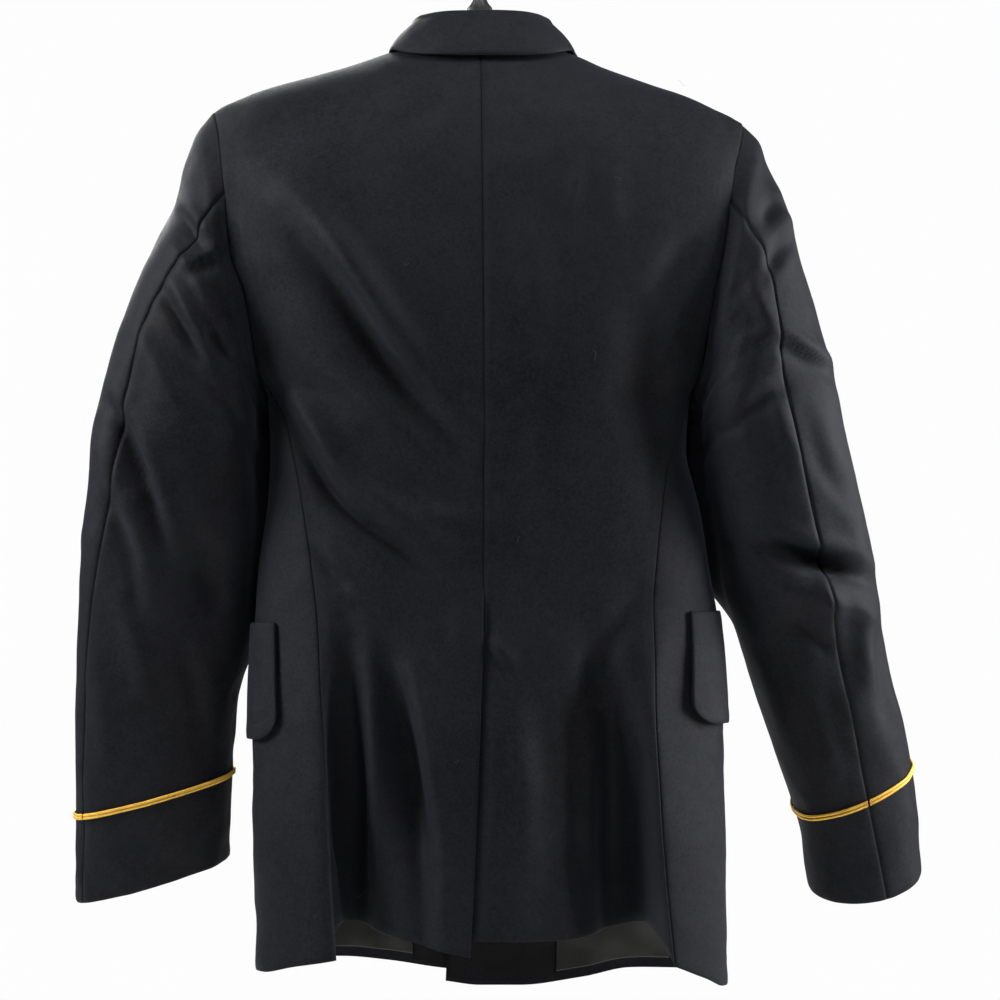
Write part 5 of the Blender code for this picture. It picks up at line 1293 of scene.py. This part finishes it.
collarShape = {
    "stations": [  # seamX, seamZ, seamFront, foldX, foldY, foldZ, edgeX, edgeZ, edgeFront, lift
        (0.0, -0.122, 0, 0.0, 0.031, -0.0866, 0.0, -0.1303, 0, 0.0052),
        (0.028, -0.1213, 0, 0.024, 0.0285, -0.0866, 0.031, -0.1298, 0, 0.005),
        (0.052, -0.1186, 0, 0.044, 0.018, -0.0868, 0.059, -0.1262, 0, 0.0045),
        (0.068, -0.1162, 0, 0.054, 0.003, -0.088, 0.0738, -0.12, 0, 0.004),
        (0.0735, -0.1175, 1, 0.058, -0.012, -0.093, 0.078, -0.1205, 1, 0.0038),
        (0.0715, -0.1245, 1, 0.061, -0.03, -0.107, 0.085, -0.131, 1, 0.0038),
        (0.068, -0.138, 1, 0.0625, -0.0455, -0.129, 0.094, -0.15, 1, 0.0038),
        (0.064, -0.154, 1, 0.0605, -0.0585, -0.1515, 0.103, -0.169, 1, 0.0038),
    ],
    "sections": 66,
    "foldRadius": 0.0032,
}


def collar():
    # stand and fall in one folded wall, from the wearer's right front end to the left one
    stations = [(i, *row) for i, row in enumerate(collarShape["stations"])]
    reads = [curveOf(stations, column) for column in range(1, 11)]
    steps = spread(2 * collarShape["sections"], 0.003) * 2 - 1
    side = np.where(steps >= 0, left, right)
    at = np.abs(steps) * (len(stations) - 1)
    seamX, seamZ, seamFront, foldX, foldY, foldZ, edgeX, edgeZ, edgeFront, lift = [read(at) for read in reads]

    def atX(x, z, front):
        return onBody(np.where(front > 0.5, angleOfX(x, z, True), angleOfX(x, z, False)), z)

    radius, wall = collarShape["foldRadius"], clothSettings["wall"]
    seam, seamNormal = atX(side * seamX, seamZ, seamFront)
    edge, edgeNormal = atX(side * edgeX, edgeZ, edgeFront)
    # the loops of the two tables meet on the shoulder, so their points are smoothed along the collar
    edge = edge + edgeNormal * (lift + wall)[:, None]
    for _ in range(12):
        seamNormal[1:-1] = (seamNormal[:-2] + 2 * seamNormal[1:-1] + seamNormal[2:]) / 4
        edge[1:-1] = (edge[:-2] + 2 * edge[1:-1] + edge[2:]) / 4
    seamNormal = unit(seamNormal)
    fold = np.stack([side * foldX, foldY, foldZ], axis=-1)
    up = np.array([0, 0, 1.0])
    away = unit((edge - fold) * np.array([1, 1, 0]))
    hub = fold - up * radius
    fallTop = hub + away * radius
    drop = edge - fallTop
    dropWay = unit(drop)
    out = unit(away - dropWay * np.sum(away * dropWay, axis=1)[:, None])
    rise = unit(fold - seam - seamNormal * np.sum((fold - seam) * seamNormal, axis=1)[:, None])
    footPoint = seam + rise * 0.0005
    neckFoot = footPoint - seamNormal * wall
    outer, inner = [], []
    small = radius - wall
    for share in 1 - spread(22, 0.010)[:-1]:
        bow, dip = 0.0016 * np.sin(np.pi * share), 0.0006 * bell((1 - share) / 0.03)
        outer.append(fallTop + drop * share + out * (bow - dip))
        inner.append(fallTop + drop * share + out * (bow - wall))
    for turn in np.linspace(0, math.pi, 9):
        way = away * math.cos(turn) + up * math.sin(turn)
        outer.append(hub + way * radius)
        inner.append(hub + way * small)
    for share in spread(9, 0.02)[1:]:
        outer.append((hub - away * radius) * (1 - share) + neckFoot * share)
        inner.append((hub - away * small) * (1 - share) + footPoint * share)
    outer, inner = (np.stack(rows, axis=1) for rows in (outer, inner))
    net = 0 * outer[..., 0]
    ripple = yarnNoise(steps[:, None] * 0.28 + net, np.arange(outer.shape[1]) * 0.0022 + net, 0.02, 5)
    ripple = out[:, None] * (0.0004 * ripple)[..., None]
    outer, inner = outer + ripple, inner + ripple
    first, last, top, _ = edgeDistances(outer.transpose(1, 0, 2))
    # painted shade along the collar's two ends and its fall edge
    seamShade = seamShadeNear(np.minimum(np.minimum(first, last), top)).T
    shell("collarCloth", outer, inner, [wool], "collar", seamShade)


for side in (left, right):
    backPanel(side)
    sidePanel(side)
    frontPanel(side)
    innerLayer(side, "facing", facingWool)
    innerLayer(side, "lining", liningSatin)
    lapel(side)
    pocketFlap(side)
    sleeve(side)
collar()


def wrapTree():
    # one tree for all that follows a path: cord, stitches and loose fibres
    tree = bpy.data.node_groups.new("wrapAlong", "GeometryNodeTree")
    sockets = {}  # the identifiers that set the inputs
    for name in ("Geometry", "Pitch", "Length", "Width", "Height", "Tilt", "Core", "Finish"):
        kind = {"Geometry": "NodeSocketGeometry", "Finish": "NodeSocketMaterial"}.get(name, "NodeSocketFloat")
        sockets[name] = tree.interface.new_socket(name=name, in_out="INPUT", socket_type=kind).identifier
    tree.interface.new_socket(name="Geometry", in_out="OUTPUT", socket_type="NodeSocketGeometry")
    given = add(tree, "NodeGroupInput").outputs
    path = add(tree, "GeometryNodeMeshToCurve", {"Mesh": given["Geometry"]}).outputs["Curve"]
    steps = add(tree, "GeometryNodeResampleCurve", {"Curve": path, "Length": given["Pitch"]}, mode="LENGTH")
    # each ply stands along the path, faces outwards and then leans over by the tilt
    tangent = add(tree, "GeometryNodeInputTangent").outputs["Tangent"]
    outward = add(tree, "GeometryNodeInputNamedAttribute", {"Name": "out"}, data_type="FLOAT_VECTOR")
    along = add(tree, "FunctionNodeAlignRotationToVector", {"Vector": tangent}, axis="Z")
    ways = {"Rotation": along.outputs["Rotation"], "Vector": outward.outputs["Attribute"]}
    upright = add(tree, "FunctionNodeAlignRotationToVector", ways, axis="X", pivot_axis="Z")
    turn = add(tree, "FunctionNodeAxisAngleToRotation", {"Axis": (1, 0, 0), "Angle": given["Tilt"]})
    ways = {"Rotation": upright.outputs["Rotation"], "Rotate By": turn.outputs["Rotation"]}
    tilted = add(tree, "FunctionNodeRotateRotation", ways, rotation_space="LOCAL")
    size = add(tree, "ShaderNodeCombineXYZ", {"X": given["Height"], "Y": given["Width"], "Z": given["Length"]})
    ply = add(tree, "GeometryNodeMeshUVSphere", {"Segments": 6, "Rings": 4, "Radius": 0.5})
    plies = add(tree, "GeometryNodeInstanceOnPoints", {
        "Points": steps.outputs["Curve"],
        "Instance": ply.outputs["Mesh"],
        "Rotation": tilted.outputs["Rotation"],
        "Scale": size.outputs["Vector"],
    })
    ring = add(tree, "GeometryNodeCurvePrimitiveCircle", {"Resolution": 6, "Radius": given["Core"]})
    profile = {"Curve": path, "Profile Curve": ring.outputs["Curve"], "Fill Caps": True}
    core = add(tree, "GeometryNodeCurveToMesh", profile)
    joined = add(tree, "GeometryNodeJoinGeometry", {"Geometry": core.outputs["Mesh"]})
    tree.links.new(plies.outputs["Instances"], joined.inputs["Geometry"])
    solid = add(tree, "GeometryNodeRealizeInstances", {"Geometry": joined.outputs["Geometry"]})
    smooth = add(tree, "GeometryNodeSetShadeSmooth", {"Geometry": solid.outputs["Geometry"]})
    finish = {"Geometry": smooth.outputs["Geometry"], "Material": given["Finish"]}
    done = add(tree, "GeometryNodeSetMaterial", finish).outputs["Geometry"]
    add(tree, "NodeGroupOutput", {"Geometry": done})
    return tree, sockets


wrapAlong, wrapSockets = wrapTree()


def wrapped(name, paths, settings, finish, node=None):
    # paths: (points, outward) arrays. The guide is dropped once its mesh is made.
    points, edges, outs = [], [], []
    for path, outward in paths:
        start = len(points)
        points += [tuple(p) for p in path]
        outs += [tuple(o) for o in outward]
        edges += [(start + i, start + i + 1) for i in range(len(path) - 1)]
    guideMesh = bpy.data.meshes.new(f"{name}Guide")
    guideMesh.from_pydata(points, edges, [])
    outward = guideMesh.attributes.new("out", "FLOAT_VECTOR", "POINT")
    outward.data.foreach_set("vector", np.array(outs, np.float32).ravel())
    guide = bpy.data.objects.new(f"{name}Guide", guideMesh)
    scene.collection.objects.link(guide)
    wrap = guide.modifiers.new("wrap", "NODES")
    wrap.node_group = wrapAlong
    for key in ("Pitch", "Length", "Width", "Height", "Tilt", "Core"):
        wrap[wrapSockets[key]] = float(settings[key.lower()])
    wrap[wrapSockets["Finish"]] = finish
    mesh = bpy.data.meshes.new_from_object(guide.evaluated_get(bpy.context.evaluated_depsgraph_get()))
    bpy.data.objects.remove(guide)
    bpy.data.meshes.remove(guideMesh)
    mesh.name = name
    mesh.materials.clear()
    return place(name, mesh, [finish], node)


braidSettings = {
    "run": {left: 0.868, right: 0.875},
    "climb": {left: -0.005, right: 0.012},
    "apart": 0.00255,
    "lift": 0.0013,
    "pitch": 0.00105,
    "length": 0.0031,
    "width": 0.00125,
    "height": 0.0022,
    "tilt": math.radians(62),
    "core": 0.00085,
}


def cuffBraid(side):
    # two gold cords side by side round the cuff, cut at the sleeve's seams
    runs, cloth, normals, angles = sleeveCloth[side]
    climb = braidSettings["climb"][side] * np.cos(np.radians(angles[-1]))
    for part, columns in sleeveParts(cloth.shape[1]).items():
        paths = []
        for offset in (-0.5, 0.5):
            shift = offset * braidSettings["apart"] / sleeveShape["length"]
            wanted = [(braidSettings["run"][side] + shift - climb[j], j) for j in columns]
            at, out = (
                np.array([[np.interp(run, runs, net[:, j, k]) for k in range(3)] for run, j in wanted])
                for net in (cloth, normals)
            )
            out = unit(out)
            at = at + out * braidSettings["lift"]
            fine = np.linspace(0, len(at) - 1, 4 * len(at))
            at, out = (
                np.stack([np.interp(fine, range(len(v)), v[:, k]) for k in range(3)], axis=1) for v in (at, out)
            )
            paths.append((at[2:-2], unit(out[2:-2])))
        name = f"cuffBraid{part.title()}{sideNames[side]}"
        wrapped(name, paths, braidSettings, goldThread, nodeOf(name))


stitchSettings = {
    "inset": 0.0055,
    "lift": 0.00018,
    "pitch": 0.0031,
    "length": 0.0024,
    "width": 0.00042,
    "height": 0.00030,
    "tilt": 0.0,
    "core": 0.00004,
}


def alongEdge(grid, normals, inset):
    # a path at a fixed inset from a net's border: down its first column, along its last row and up again
    first, last, _, bottom = edgeDistances(grid)
    rows, columns = grid.shape[:2]
    inRow = int(np.argmax(bottom[:, 0] <= inset)) - 1
    spots = [(i, np.interp(inset, first[i], np.arange(columns))) for i in range(1, inRow)]
    for j in range(columns):
        if first[inRow, j] >= inset and last[inRow, j] >= inset:
            spots.append((np.interp(-inset, -bottom[:, j], np.arange(rows)), j))
    spots += [(i, np.interp(-inset, -last[i], np.arange(columns))) for i in range(inRow - 1, 0, -1)]
    return sample(grid, spots), unit(sample(normals, spots))


def sample(grid, spots):
    # every spot lies on a row or on a column of the net
    points = []
    for i, j in spots:
        low, column = int(i), int(j)
        below, beside = min(low + 1, grid.shape[0] - 1), min(column + 1, grid.shape[1] - 1)
        point = grid[low, column] * (1 - (i - low)) + grid[below, column] * (i - low)
        points.append(point + (grid[low, beside] - grid[low, column]) * (j - column))
    return np.array(points)


def topstitches():
    flaps = []
    for side in (left, right):
        angles, heights, lift = flapGrid(side)
        points, normals = onBody(angles, heights)
        lift = lift + flapSettings["crease"] * (bodyCreases(points, normals) + wobble(angles, heights))
        on = points + normals * (lift + stitchSettings["lift"])[..., None]
        flaps.append(alongEdge(on, normals, stitchSettings["inset"]))
    wrapped("flapTopstitch", flaps, stitchSettings, sewingThread)


topstitches()
for side in (left, right):
    cuffBraid(side)


buttonSettings = {
    "heights": (-0.405, -0.490, -0.575, -0.660),
    "x": 0.0005,
    "gap": 0.0006,
    "profile": [  # radius and height in mm
        (3.2, 0.0), (3.2, 1.7), (6.4, 1.8), (9.6, 1.9), (10.6, 2.0), (10.95, 2.3), (11.0, 2.75),
        (10.85, 3.15), (10.4, 3.4), (10.0, 3.35), (9.7, 3.3), (9.35, 3.55), (8.6, 4.3), (7.4, 5.1),
        (5.8, 5.8), (4.0, 6.25), (2.0, 6.5), (0.6, 6.58),
    ],
    "sides": 48,
}


def frontButtons():
    profile = np.array(buttonSettings["profile"]) / 1000
    sides = buttonSettings["sides"]
    turns = 2 * math.pi * np.arange(sides) / sides
    for number, z in enumerate(buttonSettings["heights"], 1):
        angle = angleOfX(buttonSettings["x"], z, True)
        point, normal = onBody(angle, z)
        first = unit(np.cross(normal, [0, 0, 1.0]))
        ring = np.cos(turns)[:, None] * first + np.sin(turns)[:, None] * np.cross(normal, first)
        middle = point + normal * buttonSettings["gap"]
        points = np.concatenate([middle + normal * height + radius * ring for radius, height in profile])
        mesh = meshOf(f"domeButton{number}", points, tubeFaces(len(profile), sides), sharpAngle=38)
        place(f"domeButton{number}", outwards(mesh), [brass], f"front_button_{number}")


def tubeFaces(rings, sides):
    # quads between rings of points, and a cap on each end
    ring = np.arange(rings * sides).reshape(rings, sides)
    ahead = np.roll(ring, -1, axis=1)
    quads = np.stack([ring[:-1], ahead[:-1], ahead[1:], ring[1:]], axis=-1).reshape(-1, 4)
    return quads.tolist() + [ring[0, ::-1].tolist(), ring[-1].tolist()]


def outwards(mesh):
    shape = bmesh.new()
    shape.from_mesh(mesh)
    bmesh.ops.recalc_face_normals(shape, faces=shape.faces)
    shape.to_mesh(mesh)
    shape.free()
    return mesh


hangerSettings = {
    "x": 0.002,
    "reach": {left: 0.192, right: 0.188},
    "seatGap": 0.0008,
    "halfThickness": 0.0055,
    "middleHalfHeight": 0.0085,
    "endHalfHeight": 0.0050,
    "neckDip": 0.0040,
    "neck": [  # z, wide, deep
        (-0.112, 0.012, 0.005), (-0.085, 0.0112, 0.005), (-0.0778, 0.0106, 0.005),
        (-0.0745, 0.0082, 0.0048), (-0.0718, 0.0066, 0.0045), (-0.068, 0.0052, 0.004),
        (-0.062, 0.0042, 0.0036),
    ],
    "neckRibs": (0.0033, 0.0008, 0.0007),  # place each side of the middle, width, height
    "hookInside": 0.0230,
    "hookHalf": 0.0036,
    "hookTurns": (-38, 205),
    "tipTurns": (0.03, 0.06, 0.085),  # radians past the last turn
    "bendPull": 0.014,
    "sides": 40,
}


def bar(name, path, sizes, ribs=None):
    # an oval bar along a path in the XZ plane
    sides = hangerSettings["sides"]
    run = unit(np.gradient(path, axis=0))
    turns = 2 * math.pi * (np.arange(sides) + 0.5) / sides
    across = np.stack([run[:, 2], 0 * run[:, 0], -run[:, 0]], axis=-1)
    wide, deep = sizes[:, :1] * np.cos(turns), sizes[:, 1:] * np.sin(turns)
    if ribs is not None:
        at, width, height = hangerSettings["neckRibs"]
        deep = deep + np.sign(deep) * height * ribs[:, None] * bell((np.abs(wide) - at) / width)
    rings = path[:, None] + across[:, None] * wide[..., None]
    rings[..., 1] += deep
    return outwards(meshOf(name, rings.reshape(-1, 3), tubeFaces(len(path), sides)))


def hanger():
    settings = hangerSettings
    x = np.linspace(-settings["reach"][right], settings["reach"][left], 220)
    out = np.abs(x)
    reach = np.where(x >= 0, settings["reach"][left], settings["reach"][right])
    slope = (crestAt(x, out + 0.004) - crestAt(x, out - 0.004)) / 0.008
    end = ease((reach - out) / 0.010)
    halfHeight = between(settings["middleHalfHeight"], settings["endHalfHeight"], ease(out / reach))
    halfHeight = halfHeight * (0.45 + 0.55 * end)
    crown = settings["halfThickness"] ** 2 * 0.6
    seat = (clothSettings["wall"] + settings["seatGap"] + crown) * np.hypot(1, slope)
    dip = settings["neckDip"] * (1 - ease((out - 0.070) / 0.030))
    z = crestAt(x, out) - seat - dip - halfHeight
    for _ in range(6):
        z[1:-1] = np.minimum(z[1:-1], (z[:-2] + 2 * z[1:-1] + z[2:]) / 4)
    path = np.stack([x, 0 * x + lineY, z], axis=-1)
    sizes = np.stack([halfHeight, settings["halfThickness"] * (0.55 + 0.45 * end)], axis=-1)
    arms = bar("hangerArms", path, sizes)
    middle = settings["hookInside"] + settings["hookHalf"]
    neck = [(i, z, wide, deep) for i, (z, wide, deep) in enumerate(settings["neck"])]
    fine = np.linspace(0, len(neck) - 1, 60)
    neckZ, wide, deep = (curveOf(neck, column)(fine) for column in (1, 2, 3))
    first, last = settings["hookTurns"]
    leave = math.radians(first)
    start = np.array([settings["x"], neckZ[-1]])
    hub = np.array([0.0, -settings["hookInside"]])
    end = hub + np.array([math.cos(leave), math.sin(leave)]) * middle
    pull = start + np.array([0, settings["bendPull"]])
    push = end - settings["bendPull"] * np.array([-math.sin(leave), math.cos(leave)])
    t = np.linspace(0, 1, 24)[1:, None]
    bend = (1 - t) ** 3 * start + 3 * t * (1 - t) ** 2 * pull + 3 * t * t * (1 - t) * push + t**3 * end
    tip = last + np.degrees(settings["tipTurns"])
    turns = np.radians(np.concatenate([np.linspace(first, last, 90)[1:], tip]))
    loop = hub + middle * np.stack([np.cos(turns), np.sin(turns)], axis=-1)
    flat = np.concatenate([np.stack([0 * neckZ + settings["x"], neckZ], axis=-1), bend, loop])
    path = np.stack([flat[:, 0], 0 * flat[:, 0] + lineY, flat[:, 1]], axis=-1)
    rod = np.full((len(bend) + len(loop), 2), settings["hookHalf"])
    rod[-3:] *= [[0.92], [0.7], [0.3]]  # rounded tip
    sizes = np.concatenate([np.stack([wide, deep], axis=-1), rod])
    ribs = np.concatenate([ease((wide - 0.0046) / 0.002), np.zeros(len(sizes) - len(wide))])
    place("hangerMoulding", arms, [blackPlastic], "hanger")
    place("hangerHookBar", bar("hangerHook", path, sizes, ribs), [blackPlastic])


frontButtons()
hanger()
print("trim and hanger made")

lintSpots = [  # x, z, length and turn in degrees: fibres that catch the light on the back
    (-0.166, -0.140, 0.007, 20), (-0.091, -0.372, 0.009, 70), (-0.141, -0.674, 0.006, 130),
    (0.104, -0.812, 0.008, -30), (0.060, -0.300, 0.005, 10), (-0.030, -0.520, 0.004, 95),
    (0.120, -0.640, 0.006, 45), (-0.060, -0.760, 0.005, -60), (0.020, -0.700, 0.004, 150),
    (-0.110, -0.230, 0.005, 35),
]
lintSettings = {"pitch": 1.0, "length": 0.0001, "width": 0.0001, "height": 0.0001, "tilt": 0.0, "core": 0.00007}


def lintFibres():
    paths = []
    for number, (x, z, length, turn) in enumerate(lintSpots):
        t = np.linspace(-0.5, 0.5, 9)
        way = math.radians(turn)
        bow = 0.18 * length * np.sin(t * 5 + number)
        xs = x + t * length * math.cos(way) - bow * math.sin(way)
        zs = z + t * length * math.sin(way) + bow * math.cos(way)
        angles = angleOfX(xs, zs, False)
        points, normals = onBody(angles, zs)
        lift = bodyCreases(points, normals) + wobble(angles, zs) + 0.00035
        paths.append((points + normals * lift[:, None], normals))
    wrapped("lintFibres", paths, lintSettings, lintThread)


lintFibres()

stageSettings = {"radius": 2.1, "z": -1.25, "tone": (0.93, 0.93, 0.92)}


def stage():
    turns = 2 * math.pi * np.arange(96) / 96
    radius = stageSettings["radius"]
    points = np.stack([radius * np.cos(turns), radius * np.sin(turns), 0 * turns + stageSettings["z"]], axis=-1)
    floor = bpy.data.objects.new("studioFloor", meshOf("studioFloor", points, [tuple(range(96))]))
    scene.collection.objects.link(floor)
    made, tree, shader = nodeMaterial("paleFloor")
    where = add(tree, "ShaderNodeTexCoord").outputs["Object"]
    tone = stageSettings["tone"]
    tones = (0.3, [0.97 * v for v in tone]), (0.7, tone)
    connect(tree, shader, {"Base Color": ramp(tree, noise(tree, where, 3.0, 3, 0.5), *tones), "Roughness": 0.8})
    floor.data.materials.append(made)


lightSettings = {
    "world": (1.0, 1.0, 1.0),
    "worldStrength": 0.03,
    "paper": 0.985,
    "lamps": {  # place, size, power, aim
        "keySoftbox": ((-0.15, 0.62, 0.62), (0.5, 0.5), 8.2, (0.0, 0.0, -0.25)),
        "rightSoftbox": ((-1.25, 0.08, -0.26), (0.4, 0.9), 34, (-0.2, 0.0, -0.5)),
        "leftSoftbox": ((1.20, 0.34, 0.10), (0.5, 0.6), 27, (0.2, 0.0, -0.38)),
        "frontSoftbox": ((0.9, -1.9, 0.8), (1.2, 1.2), 60, (0.0, 0.0, -0.45)),
    },
}


def lights():
    world = bpy.data.worlds.new("softStudio")
    world.use_nodes = True
    tree = world.node_tree
    # the paper behind is lit apart from the coat, so it stays white while the cloth keeps its shade
    seen = add(tree, "ShaderNodeLightPath").outputs["Is Camera Ray"]
    dim = lightSettings["worldStrength"]
    strength = calc(tree, "MULTIPLY_ADD", seen, lightSettings["paper"] - dim, dim)
    connect(tree, tree.nodes["Background"], {"Color": (*lightSettings["world"], 1), "Strength": strength})
    scene.world = world
    for name, (at, size, power, aim) in lightSettings["lamps"].items():
        lamp = bpy.data.lights.new(name, "AREA")
        lamp.shape = "RECTANGLE"
        lamp.size, lamp.size_y = size
        lamp.energy = power
        thing = bpy.data.objects.new(name, lamp)
        thing.location = at
        way = np.array(aim) - np.array(at)
        thing.rotation_euler = mathutils.Vector(way).to_track_quat("-Z", "Y").to_euler()
        scene.collection.objects.link(thing)
    scene.view_settings.view_transform = "Standard"


stage()
lights()
print("stage and lights ready")
